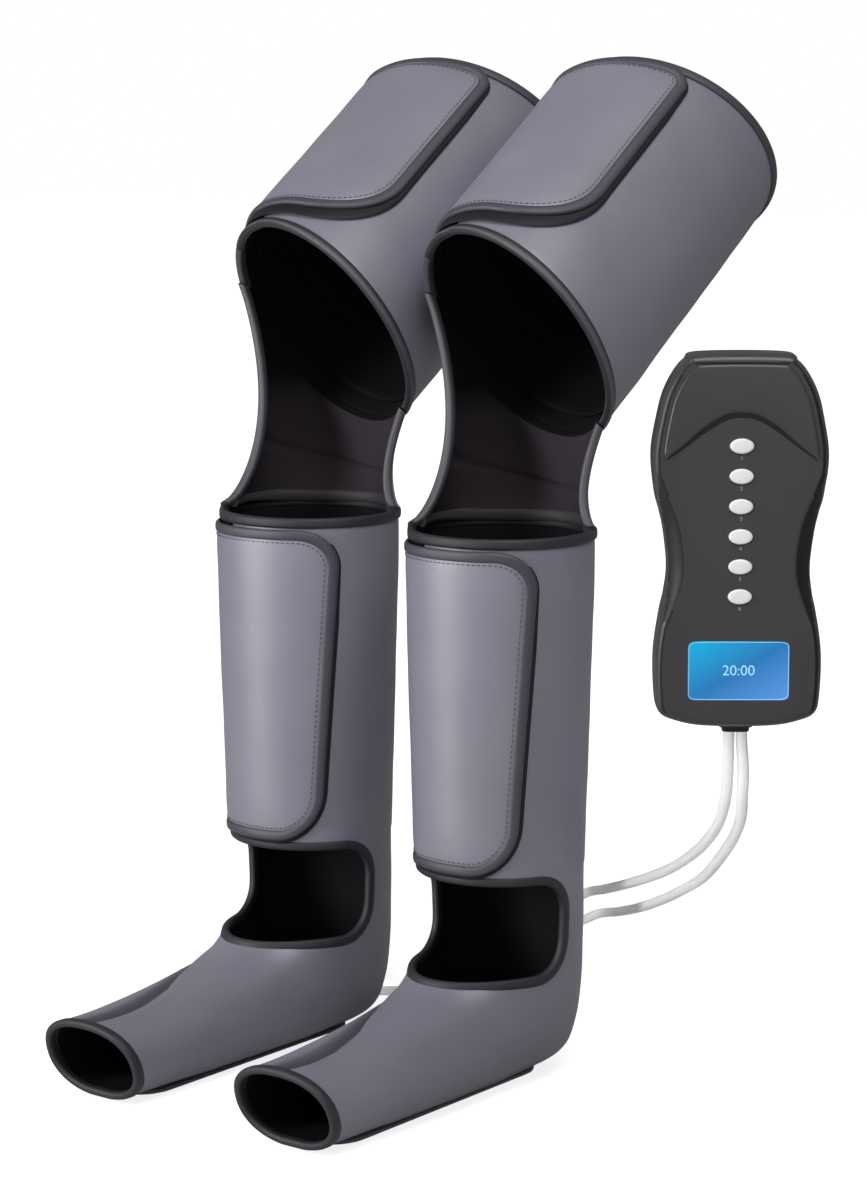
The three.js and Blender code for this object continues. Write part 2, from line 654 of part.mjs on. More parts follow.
function addFoot(boot, side) {
  const shell = cut(footWall(0, SHELL_WALL), ankleCutter(taped, true));
  add(boot, `${side}_foot_shell`, shell, cloth);
  add(boot, `${side}_sole_pad`, solePad(), solePadding);
  add(boot, `${side}_foot_air_chamber`, footChamber(), airFilm);
  add(boot, `${side}_toe_binding`, toeBinding(), darkCloth);
  add(boot, `${side}_ankle_binding`, ankleBinding(), darkCloth);
  add(boot, `${side}_air_inlet`, airInlet(), blackPlastic);
}

// Handset, built facing -Y round its own middle

const rightHalf = OUTLINE_SHARES.map(([x, z]) => [x * HANDSET_HALF_WIDTH, z * HANDSET_HEIGHT]);
const leftHalf = rightHalf.map(([x, z]) => [-x, z]).reverse();
const handsetOutline = [...rightHalf, ...leftHalf].map(([x, z]) => new THREE.Vector2(x, z));

// How much further the face is drawn in at a height, for the hollow facets beside the waist
function facetAt(z) {
  const away = (z / HANDSET_HEIGHT - WAIST_SHARE) / WAIST_SPAN_SHARE;
  return WAIST_FACET * Math.max(0, 1 - away * away);
}

// The outline at a depth, each of its points drawn in by insetAt(height)
function handsetRing(y, insetAt) {
  const count = handsetOutline.length;
  return handsetOutline.map((spot, i) => {
    const before = handsetOutline[(i + count - 1) % count];
    const after = handsetOutline[(i + 1) % count];
    const along = after.clone().sub(before).normalize();
    const inset = insetAt(spot.y);
    return vec(spot.x + along.y * inset, y, spot.y - along.x * inset);
  });
}

// The front half or the rear half of the body, inset by a wall for its hollow
function handsetHalf(facing, depth, wall, faceted) {
  const facet = (z) => (faceted ? facetAt(z) : 0);
  const seam = wall ? -OVERRUN : GAP / 2;
  return loft([
    handsetRing(facing * seam, () => wall),
    handsetRing(facing * SIDE_DEPTH, () => wall),
    handsetRing(facing * (depth - wall - FACE_ROUNDING), (z) => wall + FACE_ROUNDING + facet(z)),
    handsetRing(facing * (depth - wall), (z) => wall + FACE_INSET + facet(z)),
  ]);
}

// A shape drawn as seen from the front, extruded from one depth to another further forward
function fromFront(shape, back, front, bevel) {
  const depth = front - back - 2 * bevel;
  const options = { depth, bevelEnabled: bevel > 0, bevelThickness: bevel, bevelSize: bevel, bevelOffset: -bevel };
  const geometry = new THREE.ExtrudeGeometry(shape, { ...options, bevelSegments: 1, curveSegments: OVAL_STEPS });
  geometry.applyMatrix4(new THREE.Matrix4().makeBasis(vec(1, 0, 0), vec(0, 0, 1), vec(0, -1, 0)));
  return geometry.translate(0, -back - bevel, 0);
}
const OVAL_STEPS = 6;

const screenZ = SCREEN_SHARE * HANDSET_HEIGHT;

const ovalShape = (z, grow) =>
  new THREE.Shape().absellipse(0, z, BUTTON_HALF_WIDTH + grow, BUTTON_HALF_HEIGHT + grow, 0, 2 * Math.PI);

function screenShape(grow) {
  const [x, z, corner] = [SCREEN_WIDTH / 2 + grow, SCREEN_HEIGHT / 2 + grow, SCREEN_CORNER + grow];
  const shape = new THREE.Shape();
  shape.absarc(x - corner, screenZ + z - corner, corner, 0, Math.PI / 2, false);
  shape.absarc(corner - x, screenZ + z - corner, corner, Math.PI / 2, Math.PI, false);
  shape.absarc(corner - x, screenZ - z + corner, corner, Math.PI, (3 * Math.PI) / 2, false);
  shape.absarc(x - corner, screenZ - z + corner, corner, (3 * Math.PI) / 2, 2 * Math.PI, false);
  return shape;
}

function hood() {
  const low = HOOD_SHARES.map(([x, z]) => new THREE.Vector2(x * HANDSET_HALF_WIDTH, z * HANDSET_HEIGHT));
  const arch = [...low, ...low.map(({ x, y }) => new THREE.Vector2(-x, y)).reverse()];
  const rim = handsetRing(0, () => HOOD_INSET).map((spot) => new THREE.Vector2(spot.x, spot.z));
  const above = rim.filter((spot) => spot.y > arch[0].y);
  const side = above.filter((spot) => spot.x < 0);
  const other = above.filter((spot) => spot.x > 0);
  return fromFront(new THREE.Shape([...arch, ...side, ...other]), FRONT_DEPTH - HANDSET_WALL / 2,
    FRONT_DEPTH + HOOD_RISE, HOOD_RISE / 2);
}

const buttonShare = (i) => TOP_BUTTON_SHARE - i * BUTTON_PITCH_SHARE;
const buttonHeights = Array.from({ length: BUTTON_COUNT }, (_, i) => buttonShare(i) * HANDSET_HEIGHT);
const frontWallBack = FRONT_DEPTH - HANDSET_WALL;
const boardFront = frontWallBack - BOARD_SETBACK;
const boardBack = boardFront - BOARD_THICKNESS;
const rearWallFront = REAR_DEPTH - HANDSET_WALL;

function box(x0, x1, y0, y1, z0, z1) {
  const geometry = new THREE.BoxGeometry(x1 - x0, y1 - y0, z1 - z0);
  return geometry.translate((x0 + x1) / 2, (y0 + y1) / 2, (z0 + z1) / 2);
}

// A post between two depths, at one of the board's four corners
function post(x, z, from, to) {
  const geometry = new THREE.CylinderGeometry(POST_RADIUS, POST_RADIUS, to - from, INLET_SIDES);
  return geometry.translate(x, (from + to) / 2, z);
}
const postHeights = POST_SHARES.map((share) => share * HANDSET_HEIGHT);
const postPlaces = postHeights.flatMap((z) => [[-POST_X, z], [POST_X, z]]);

const bottom = -HANDSET_HEIGHT / 2;
const glandOpening = (grow) =>
  box(-GLAND_HALF_WIDTH - grow, GLAND_HALF_WIDTH + grow, -GLAND_HALF_DEPTH - grow, GLAND_HALF_DEPTH + grow,
    bottom - GLAND_PROUD - (grow ? OVERRUN : 0), bottom + GLAND_INSIDE);

function frontCover() {
  const outside = handsetHalf(-1, FRONT_DEPTH, 0, true);
  const hollow = handsetHalf(-1, FRONT_DEPTH, HANDSET_WALL, true);
  const posts = postPlaces.map(([x, z]) => post(x, z, -frontWallBack - HANDSET_WALL / 2, -boardFront - GAP));
  const through = [frontWallBack - OVERRUN, FRONT_DEPTH + OVERRUN];
  const holes = buttonHeights.map((z) => fromFront(ovalShape(z, BUTTON_CLEARANCE), ...through, 0));
  const windowHole = fromFront(screenShape(GAP), ...through, 0);
  const shell = join(cut(outside, hollow), hood(), ...posts);
  return cut(shell, ...holes, windowHole, glandOpening(GAP));
}

function rearCover() {
  const outside = handsetHalf(1, REAR_DEPTH, 0, false);
  const hollow = handsetHalf(1, REAR_DEPTH, HANDSET_WALL, false);
  const posts = postPlaces.map(([x, z]) => post(x, z, GAP - boardBack, rearWallFront + HANDSET_WALL / 2));
  return cut(join(cut(outside, hollow), ...posts), glandOpening(GAP));
}

function button(z) {
  const lipFront = frontWallBack - GAP;
  const cap = fromFront(ovalShape(z, 0), lipFront - BUTTON_LIP_THICKNESS, FRONT_DEPTH + BUTTON_PROUD, BUTTON_PROUD / 2);
  const lip = fromFront(ovalShape(z, BUTTON_LIP), lipFront - BUTTON_LIP_THICKNESS, lipFront, 0);
  return join(cap, lip);
}

function displayModule() {
  const [x, z] = [SCREEN_WIDTH / 2 + MODULE_MARGIN, SCREEN_HEIGHT / 2 + MODULE_MARGIN];
  return box(-x, x, GAP - frontWallBack, -boardFront - GAP, screenZ - z, screenZ + z);
}

function airPump() {
  const geometry = new THREE.CylinderGeometry(PUMP_RADIUS, PUMP_RADIUS, PUMP_LENGTH, INLET_SIDES);
  geometry.rotateZ(Math.PI / 2);
  return geometry.translate(0, rearWallFront - GAP - PUMP_RADIUS, PUMP_SHARE * HANDSET_HEIGHT);
}

function valveBlock() {
  const back = rearWallFront - GAP;
  const z = VALVE_SHARE * HANDSET_HEIGHT;
  return box(-VALVE_WIDTH / 2, VALVE_WIDTH / 2, back - VALVE_DEPTH, back, z - VALVE_HEIGHT / 2, z + VALVE_HEIGHT / 2);
}

function handset() {
  const group = new THREE.Group();
  add(group, "front_cover", frontCover(), blackPlastic);
  add(group, "rear_cover", rearCover(), blackPlastic);
  buttonHeights.forEach((z, i) => add(group, `button_${i + 1}`, button(z), whitePlastic));
  const lens = fromFront(screenShape(0), frontWallBack, FRONT_DEPTH - LENS_RECESS, 0);
  add(group, "display_lens", lens, screenGlass);
  add(group, "display_module", displayModule(), blackPlastic);
  const [boardLow, boardHigh] = [BOARD_BOTTOM_SHARE, BOARD_TOP_SHARE].map((share) => share * HANDSET_HEIGHT);
  const board = box(-BOARD_HALF_WIDTH, BOARD_HALF_WIDTH, -boardFront, -boardBack, boardLow, boardHigh);
  add(group, "circuit_board", board, greenBoard);
  add(group, "air_pump", airPump(), pumpSteel);
  add(group, "valve_block", valveBlock(), whitePlastic);
  add(group, "hose_gland", glandOpening(0), blackPlastic);
  group.rotation.z = rad(HANDSET_TURN);
  group.position.set(HANDSET_X, HANDSET_Y, HANDSET_Z);
  return group;
}

// Hoses

function tube(path, sides, steps) {
  const round = new THREE.Shape().absarc(0, 0, HOSE_DIAMETER / 2, 0, 2 * Math.PI);
  return new THREE.ExtrudeGeometry(round, { steps, curveSegments: sides / 2, extrudePath: path });
}

// Directions along the handset's face and straight away behind it
const sideways = vec(1, 0, 0).applyAxisAngle(vec(0, 0, 1), rad(HANDSET_TURN));
const behind = vec(0, 1, 0).applyAxisAngle(vec(0, 0, 1), rad(HANDSET_TURN));
const hoseFloor = HOSE_DIAMETER / 2 + GAP;

// A coil of hose on the floor: a helix that comes down or goes up by its pitch in each turn
class CoilCurve extends THREE.Curve {
  constructor(bootX, { side, behind: back, start, sweep, descends }) {
    super();
    this.middle = vec(bootX, 0, hoseFloor).addScaledVector(sideways, side).addScaledVector(behind, back);
    this.start = start;
    this.sweep = sweep;
    this.rise = (Math.abs(sweep) / FULL_TURN) * COIL_PITCH;
    this.descends = descends;
  }

  getPoint(t, target = vec()) {
    const turn = rad(this.start + t * this.sweep);
    target.copy(this.middle);
    target.addScaledVector(sideways, COIL_RADIUS * Math.cos(turn));
    target.addScaledVector(behind, COIL_RADIUS * Math.sin(turn));
    target.z += this.rise * (this.descends ? 1 - t : t);
    return target;
  }

  // level direction of travel at an end
  heading(t) {
    const turn = rad(this.start + t * this.sweep);
    const way = vec(0, 0, 0).addScaledVector(sideways, -Math.sin(turn)).addScaledVector(behind, Math.cos(turn));
    return way.multiplyScalar(Math.sign(this.sweep));
  }

  get steps() {
    return Math.ceil((Math.abs(this.sweep) / FULL_TURN) * COIL_STEPS_PER_TURN);
  }

  // the least gap between the surfaces of turns, measured between points more than a third of a turn apart
  leastGap() {
    const count = 4 * this.steps;
    const spots = this.getPoints(count);
    const apart = Math.ceil((count * FULL_TURN) / Math.abs(this.sweep) / 3);
    let least = Infinity;
    spots.forEach((spot, i) => {
      for (const other of spots.slice(i + apart)) least = Math.min(least, spot.distanceTo(other));
    });
    return least - HOSE_DIAMETER;
  }
}

// A free stretch through its points, straight for one diameter at each end
function hosePath(start, startWay, route, end, endWay) {
  const spots = [
    start,
    start.clone().addScaledVector(startWay, HOSE_DIAMETER),
    ...route.map(([x, y, z]) => vec(x, y, z)),
    end.clone().addScaledVector(endWay, -HOSE_DIAMETER),
    end,
  ];
  return new THREE.CatmullRomCurve3(spots, false, "centripetal");
}

const freeSteps = (path) => Math.ceil(path.getLength() / (HOSE_STEP_DIAMETERS * HOSE_DIAMETER));

// The last stretch, from the coil along the floor and up to the inlet's nozzle
function tailPath(bootX, coil) {
  const way = coil.heading(1);
  const up = vec(0, 0, 1);
  const start = coil.getPoint(1).addScaledVector(way, GAP);
  const end = vec(bootX, nozzleBack, nozzleTip - GAP);
  const bendStart = start.clone().addScaledVector(way, HOSE_DIAMETER);
  const bendEnd = end.clone().addScaledVector(up, -HOSE_DIAMETER);
  const path = new THREE.CurvePath();
  path.add(new THREE.LineCurve3(start, bendStart));
  path.add(new THREE.CubicBezierCurve3(bendStart, bendStart.clone().addScaledVector(way, TAIL_BEND),
    bendEnd.clone().addScaledVector(up, -TAIL_BEND / 2), bendEnd));
  path.add(new THREE.LineCurve3(bendEnd, end));
  return path;
}

function addHose(group, side, bootX, exitSide, route, coilSizes) {
  const coil = new CoilCurve(bootX, coilSizes);
  const exit = vec(HANDSET_X, HANDSET_Y, HANDSET_Z + bottom - GLAND_PROUD - GAP);
  exit.addScaledVector(sideways, (exitSide * HOSE_PITCH) / 2);
  const entry = coil.getPoint(0).addScaledVector(coil.heading(0), -GAP);
  const free = hosePath(exit, vec(0, 0, -1), route, entry, coil.heading(0));
  const tail = tailPath(bootX, coil);
  add(group, `${side}_hose`, tube(free, HOSE_SIDES, freeSteps(free)), hoseVinyl);
  add(group, `${side}_hose_coil`, tube(coil, COIL_SIDES, coil.steps), hoseVinyl);
  add(group, `${side}_hose_tail`, tube(tail, HOSE_SIDES, 2 * freeSteps(tail)), hoseVinyl);
  const metres = [free, coil, tail].map((path) => (path.getLength() / 1000).toFixed(3));
  console.log(`${side} hose: ${metres.join(" + ")} m, least gap in its coil ${coil.leastGap().toFixed(2)} mm`);
}

// Assembly

function boot(side, x) {
  const group = new THREE.Group();
  addFoot(group, side);
  addCalf(group, side);
  add(group, `${side}_knee_panel`, kneePanel(), cloth);
  addThigh(group, side);
  group.position.x = x;
  return group;
}

const dry = new THREE.Group();
dry.add(boot("left", BOOT_SPACING / 2), boot("right", -BOOT_SPACING / 2), handset());

const hoses = new THREE.Group();
addHose(hoses, "left", BOOT_SPACING / 2, -1, LEFT_ROUTE, LEFT_COIL);
addHose(hoses, "right", -BOOT_SPACING / 2, 1, RIGHT_ROUTE, RIGHT_COIL);

// The origin is the middle of the base of all but the hoses.
dry.updateMatrixWorld(true);
const bounds = new THREE.Box3().setFromObject(dry, true);
const middle = bounds.getCenter(vec());
const assembly = new THREE.Group();
assembly.add(dry, hoses);
assembly.position.set(-middle.x, -middle.y, -bounds.min.z);

const massager = new THREE.Group();
massager.add(assembly);

export default massager;
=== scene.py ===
# Looks for the pair of air compression boots, their handset and their two air hoses.
# Shapes are worked out in the CAD source's millimetres and written in metres in the row frame.
import math

import bmesh
import bpy
import numpy as np
from mathutils import Matrix, Vector


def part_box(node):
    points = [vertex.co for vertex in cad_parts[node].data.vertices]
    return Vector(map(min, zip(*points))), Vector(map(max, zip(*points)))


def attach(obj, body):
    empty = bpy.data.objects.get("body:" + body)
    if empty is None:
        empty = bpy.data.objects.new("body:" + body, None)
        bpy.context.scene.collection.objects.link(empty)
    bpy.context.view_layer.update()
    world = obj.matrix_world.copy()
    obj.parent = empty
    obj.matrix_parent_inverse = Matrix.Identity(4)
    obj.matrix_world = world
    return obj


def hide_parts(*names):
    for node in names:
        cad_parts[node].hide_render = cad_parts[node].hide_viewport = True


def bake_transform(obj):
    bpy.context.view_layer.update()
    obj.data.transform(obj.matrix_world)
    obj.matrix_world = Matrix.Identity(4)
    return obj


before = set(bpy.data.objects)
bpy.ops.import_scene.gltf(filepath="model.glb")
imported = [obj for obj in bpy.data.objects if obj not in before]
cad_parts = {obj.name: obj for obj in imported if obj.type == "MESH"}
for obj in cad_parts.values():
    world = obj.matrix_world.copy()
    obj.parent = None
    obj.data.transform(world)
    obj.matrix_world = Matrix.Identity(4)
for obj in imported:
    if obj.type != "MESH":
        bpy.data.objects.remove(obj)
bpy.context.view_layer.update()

MM = 0.001
ROOT_BODY = "boots_and_handset"
SIDES = {"left": 94.5, "right": -94.5}

# The CAD source's frame moves to the row frame by the place of the left boot's sole pad.
SOLE_TOE_END = -225.0
sole_low, sole_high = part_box("left_sole_pad")
SHIFT = np.array([
    (sole_low[0] + sole_high[0]) / 2 / MM - SIDES["left"],
    sole_low[1] / MM - SOLE_TOE_END,
    0.0,
])


def row(points):
    """Points of the source in millimetres as points of the row frame in metres."""
    return (np.asarray(points, float) + SHIFT) * MM


# Camera

CAMERA_PLACE = (1.40006, -1.95311, 0.7567)
CAMERA_TARGET = (-0.12074, -0.00691, 0.3607)
CAMERA_LENS = 97.7
CAMERA_SENSOR = 36


def in_scene(name, data):
    """A new object of this data, linked into the scene."""
    thing = bpy.data.objects.new(name, data)
    bpy.context.scene.collection.objects.link(thing)
    return thing


def look_at(thing, target):
    thing.rotation_euler = (Vector(target) - thing.location).to_track_quat("-Z", "Y").to_euler()


camera = in_scene("camera", bpy.data.cameras.new("camera"))
camera.location = CAMERA_PLACE
camera.data.lens = CAMERA_LENS
camera.data.sensor_width = CAMERA_SENSOR
look_at(camera, CAMERA_TARGET)
bpy.context.scene.camera = camera
bpy.context.scene.view_settings.view_transform = "Standard"


# Materials


class Nodes:
    """A node tree in the making."""

    def __init__(self, tree):
        self.nodes, self.links = tree.nodes, tree.links

    def node(self, kind, values=None, **settings):
        made = self.nodes.new(kind)
        for name, value in settings.items():
            setattr(made, name, value)
        for socket, value in (values or {}).items():
            if isinstance(value, bpy.types.NodeSocket):
                self.links.new(value, made.inputs[socket])
            else:
                made.inputs[socket].default_value = value
        return made

    def math(self, operation, a, b):
        return self.node("ShaderNodeMath", {0: a, 1: b}, operation=operation).outputs[0]

    def mix(self, share, a, b):
        return self.node("ShaderNodeMix", {0: share, 6: a, 7: b}, data_type="RGBA").outputs[2]

    def ramp(self, share, low, high, to_low, to_high):
        values = {"Value": share, "From Min": low, "From Max": high, "To Min": to_low, "To Max": to_high}
        return self.node("ShaderNodeMapRange", values).outputs["Result"]

    def seen_directly(self):
        """1 for camera and transmission rays, and 0 for the others."""
        rays = self.node("ShaderNodeLightPath").outputs
        return self.math("MAXIMUM", rays["Is Camera Ray"], rays["Is Transmission Ray"])


class Paint(Nodes):
    """A material in the making. Its shader is a Principled BSDF."""

    def __init__(self, name, **settings):
        self.material = bpy.data.materials.new(name)
        self.material.use_nodes = True
        super().__init__(self.material.node_tree)
        self.shader = self.nodes["Principled BSDF"]
        for socket, value in settings.items():
            self.shader.inputs[socket.replace("_", " ")].default_value = value

    def sine(self, value):
        return self.node("ShaderNodeMath", {0: value}, operation="SINE").outputs[0]

    def place(self, from_uv):
        return self.node("ShaderNodeTexCoord").outputs["UV" if from_uv else "Object"]

    def noise(self, place, scale, detail=2.0, rough=0.5):
        values = {"Vector": place, "Scale": scale, "Detail": detail, "Roughness": rough}
        return self.node("ShaderNodeTexNoise", values).outputs["Fac"]

    def bump(self, height, distance, strength=1.0, under=None):
        values = {"Height": height, "Distance": distance, "Strength": strength}
        if under is not None:
            values["Normal"] = under
        return self.node("ShaderNodeBump", values).outputs["Normal"]

    def use(self, **sockets):
        for socket, output in sockets.items():
            self.links.new(output, self.shader.inputs[socket.replace("_", " ")])
        return self.material


def shade(colour, factor):
    return tuple(min(1.0, c * factor) for c in colour) + (1.0,)


def cloth(name, colour, roughness, pitch, weave_depth, sheen, from_uv=True, specular=0.5, blotch=0.05, shade_above=None,
          folded=False):
    """Coated woven cloth: plain weave bump, soft blotches, fine fleck and a sheen. A height in metres may be given
    above which the cloth is darkened nearly to black as painted shade, and it may be darkened inside the mesh's folds
    as painted shade."""
    paint = Paint(name, Sheen_Weight=sheen, Sheen_Roughness=0.4, Specular_IOR_Level=specular)
    paint.shader.inputs["Sheen Tint"].default_value = shade(colour, 3.0)
    place = paint.place(from_uv)
    split = paint.node("ShaderNodeSeparateXYZ", {0: place}).outputs
    turns = 2 * math.pi / pitch
    warp = paint.sine(paint.math("MULTIPLY", split[0], turns))
    weft = paint.sine(paint.math("MULTIPLY", split[1], turns))
    weave = paint.math("MULTIPLY", warp, weft)
    blotches = paint.noise(place, 14.0, 3.0)
    fleck = paint.noise(place, 900.0, 1.0)
    lightness = paint.ramp(blotches, 0.3, 0.7, 0.0, 1.0)
    base = paint.mix(lightness, shade(colour, 1 - blotch), shade(colour, 1 + blotch))
    speckled = paint.mix(paint.ramp(fleck, 0.35, 0.65, 0.0, 0.35), base, shade(colour, 1.18))
    # Painted shade: above the given height the cloth is darkened nearly to black, for the shade inside the thigh cuff.
    if shade_above:
        height = paint.node("ShaderNodeSeparateXYZ", {0: paint.place(False)}).outputs[2]
        dyed = paint.ramp(height, shade_above - 0.012, shade_above + 0.012, 0.0, 1.0)
        speckled = paint.mix(dyed, speckled, shade(colour, 0.16))
    # Painted shade: the cloth is darkened along the instep fold, by the mesh's fold mask, where the fold's shade falls.
    if folded:
        fold = paint.node("ShaderNodeAttribute")
        fold.attribute_name = "fold"
        speckled = paint.mix(fold.outputs["Fac"], speckled, shade(colour, 0.22))
    rough = paint.ramp(blotches, 0.3, 0.7, roughness - 0.04, roughness + 0.05)
    slub = paint.noise(place, 160.0, 2.0)
    under = paint.bump(slub, 0.00025, 0.35)
    normal = paint.bump(weave, weave_depth, 0.6, under)
    return paint.use(Base_Color=speckled, Roughness=rough, Normal=normal)


def plastic(name, colour, roughness, grain, grain_depth, specular=0.5):
    """Moulded plastic with a fine grain and a slight variation of gloss."""
    paint = Paint(name, Specular_IOR_Level=specular)
    place = paint.place(False)
    fine = paint.noise(place, grain, 2.0, 0.6)
    broad = paint.noise(place, 25.0, 2.0)
    base = paint.mix(broad, shade(colour, 0.93), shade(colour, 1.07))
    rough = paint.ramp(broad, 0.3, 0.7, roughness - 0.04, roughness + 0.04)
    return paint.use(Base_Color=base, Roughness=rough, Normal=paint.bump(fine, grain_depth, 0.5))


OUTER = (0.165, 0.162, 0.203)
TAPE = (0.042, 0.04, 0.053)
outer_cloth = cloth("outer_cloth", OUTER, 0.42, 0.0011, 0.00005, 0.06, specular=0.85)
# The sleeve's cloth carries painted shade along the instep fold.
sleeve_cloth = cloth("sleeve_cloth", OUTER, 0.42, 0.0011, 0.00005, 0.06, specular=0.85, folded=True)
lining_cloth = cloth("lining_cloth", (0.006, 0.0055, 0.007), 0.8, 0.0014, 0.00006, 0.02, blotch=0.15, specular=0.12)
# Its upper part is darkened by painted shade, for the shade inside the thigh cuff.
knee_lining = cloth("knee_lining", (0.03, 0.0235, 0.0295), 0.8, 0.0012, 0.00006, 0.03, blotch=0.12, specular=0.15,
                    shade_above=0.51)
binding_tape = cloth("binding_tape", TAPE, 0.46, 0.0009, 0.00007, 0.08, blotch=0.1, specular=0.6)
dark_tape = cloth("dark_tape", (0.021, 0.0205, 0.026), 0.5, 0.0009, 0.00007, 0.05, blotch=0.12, specular=0.4)
# Near-black cloth of the painted shadow strips under the flaps' edges.
shadow_strip_black = cloth("shadow_strip_black", (0.007, 0.0065, 0.009), 0.55, 0.0009, 0.00007, 0.03, blotch=0.12, specular=0.3)
grey_tape = cloth("grey_tape", (0.058, 0.056, 0.066), 0.5, 0.0009, 0.00007, 0.1, specular=0.6)
hem_cloth = cloth("hem_cloth", (0.04, 0.038, 0.042), 0.6, 0.0012, 0.00006, 0.05, blotch=0.12, specular=0.3)
thread = cloth("thread", (0.05, 0.048, 0.062), 0.5, 0.0006, 0.00008, 0.1)
air_film = cloth("air_film", (0.004, 0.0038, 0.0045), 0.75, 0.002, 0.00004, 0.02, specular=0.1)
sole_foam = cloth("sole_foam", (0.15, 0.148, 0.185), 0.8, 0.003, 0.0002, 0.05, from_uv=False)
black_plastic = plastic("black_plastic", (0.034, 0.0312, 0.034), 0.36, 1500.0, 0.00005, specular=0.45)
# Near-black plastic painted on the waist's side facets as painted shade, for facets that face away from the light.
facet_shade_plastic = plastic("facet_shade_plastic", (0.009, 0.009, 0.01), 0.5, 900.0, 0.00008, specular=0.25)
# Also used for the painted shadow under the hood's step.
dark_plastic = plastic("dark_plastic", (0.006, 0.006, 0.0068), 0.4, 1500.0, 0.00004, specular=0.3)
white_plastic = plastic("white_plastic", (0.71, 0.71, 0.705), 0.34, 900.0, 0.00002)
pale_print = plastic("pale_print", (0.3, 0.3, 0.31), 0.6, 2000.0, 0.00001)
green_board = plastic("green_board", (0.02, 0.12, 0.045), 0.45, 500.0, 0.00004)
valve_plastic = plastic("valve_plastic", (0.55, 0.55, 0.53), 0.45, 700.0, 0.00003)


def hook_tape_material():
    paint = Paint("hook_tape", Specular_IOR_Level=0.3, Sheen_Weight=0.1)
    place = paint.place(False)
    cells = paint.node("ShaderNodeTexVoronoi", {"Vector": place, "Scale": 900.0}).outputs["Distance"]
    base = paint.mix(cells, shade((0.008, 0.008, 0.009), 1), shade((0.03, 0.03, 0.033), 1))
    rough = paint.ramp(cells, 0, 1, 0.7, 0.95)
    return paint.use(Base_Color=base, Roughness=rough, Normal=paint.bump(cells, 0.0005, 0.8))


def steel_material():
    paint = Paint("pump_steel", Metallic=1.0)
    place = paint.place(False)
    fine = paint.noise(place, 600.0)
    base = paint.mix(fine, (0.42, 0.42, 0.44, 1), (0.56, 0.56, 0.58, 1))
    return paint.use(Base_Color=base, Roughness=paint.ramp(fine, 0.3, 0.7, 0.28, 0.4))


def vinyl_material():
    """Clear soft vinyl that looks milky: part of the light goes through, part is scattered."""
    paint = Paint("hose_vinyl", Transmission_Weight=0.5, IOR=1.2, Specular_IOR_Level=0.5)
    place = paint.place(False)
    cloud = paint.noise(place, 30.0, 1.0)
    base = paint.mix(cloud, (0.86, 0.87, 0.87, 1), (0.9, 0.905, 0.905, 1))
    return paint.use(Base_Color=base, Roughness=paint.ramp(cloud, 0.3, 0.7, 0.34, 0.4))


def emissive(name, colour, strength):
    paint = Paint(name, Emission_Color=shade(colour, 1), Emission_Strength=strength, Roughness=0.3)
    fine = paint.noise(paint.place(False), 600.0)
    return paint.use(Base_Color=paint.mix(fine, shade(colour, 0.9), shade(colour, 1)))


hook_tape = hook_tape_material()
pump_steel = steel_material()
hose_vinyl = vinyl_material()
screen_glow = emissive("screen_glow", (0.3, 0.6, 0.85), 0.35)


# Making pieces


def smooth(mesh, limit=None):
    """Shades a mesh smooth, and keeps the edges sharper than limit degrees crisp."""
    mesh.polygons.foreach_set("use_smooth", [True] * len(mesh.polygons))
    if limit is not None:
        bm = bmesh.new()
        bm.from_mesh(mesh)
        for edge in bm.edges:
            edge.smooth = len(edge.link_faces) != 2 or edge.calc_face_angle(0.0) < math.radians(limit)
        bm.to_mesh(mesh)
        bm.free()
    mesh.update()


def evaluated(mesh, *modifiers):
    """A mesh's or a text curve's mesh after these modifiers, each a type and its settings."""
    thing = in_scene("making", mesh)
    for kind, settings in modifiers:
        modifier = thing.modifiers.new(kind, kind)
        for key, value in settings.items():
            setattr(modifier, key, value)
    depsgraph = bpy.context.evaluated_depsgraph_get()
    made = bpy.data.meshes.new_from_object(thing.evaluated_get(depsgraph), depsgraph=depsgraph)
    bpy.data.objects.remove(thing)
    return made


def piece(name, mesh, body, replaced=(), materials=()):
    """A finished piece from a mesh in the source's millimetres."""
    mesh = mesh.copy()
    mesh.name = name
    mesh.transform(Matrix.Translation(Vector(SHIFT)))
    mesh.transform(Matrix.Scale(MM, 4))
    if materials:
        kinds = [min(polygon.material_index, len(materials) - 1) for polygon in mesh.polygons]
        mesh.materials.clear()
        for material in materials:
            mesh.materials.append(material)
        mesh.polygons.foreach_set("material_index", kinds)
        mesh.update()
    thing = in_scene(name, mesh)
    if isinstance(body, str):
        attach(thing, body)
    else:
        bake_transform(thing)
    if replaced:
        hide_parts(*replaced)


def on_both(name, mesh, body, replaced=(), materials=()):
    """The same piece on both boots. body is a body's name after its side, or None for the root."""
    for side, x in SIDES.items():
        moved = mesh.copy()
        moved.transform(Matrix.Translation(Vector((x, 0, 0))))
        home = f"{side}_{body}" if isinstance(body, str) else ROOT_BODY if body is None else body(side)
        nodes = [f"{side}_{node}" for node in replaced]
        piece(f"{side}_{name}", moved, home, nodes, materials)


def arc_lengths(points):
    return np.concatenate([[0], np.cumsum(np.linalg.norm(np.diff(points, axis=0), axis=1))])


def places_of(mesh):
    places = np.zeros(len(mesh.vertices) * 3)
    mesh.vertices.foreach_get("co", places)
    return places.reshape(-1, 3)


def placed(mesh, place):
    """The mesh with its points passed through place."""
    mesh.vertices.foreach_set("co", place(places_of(mesh)).ravel())
    mesh.update()
    return mesh


CLOTH_FRAMES = 20


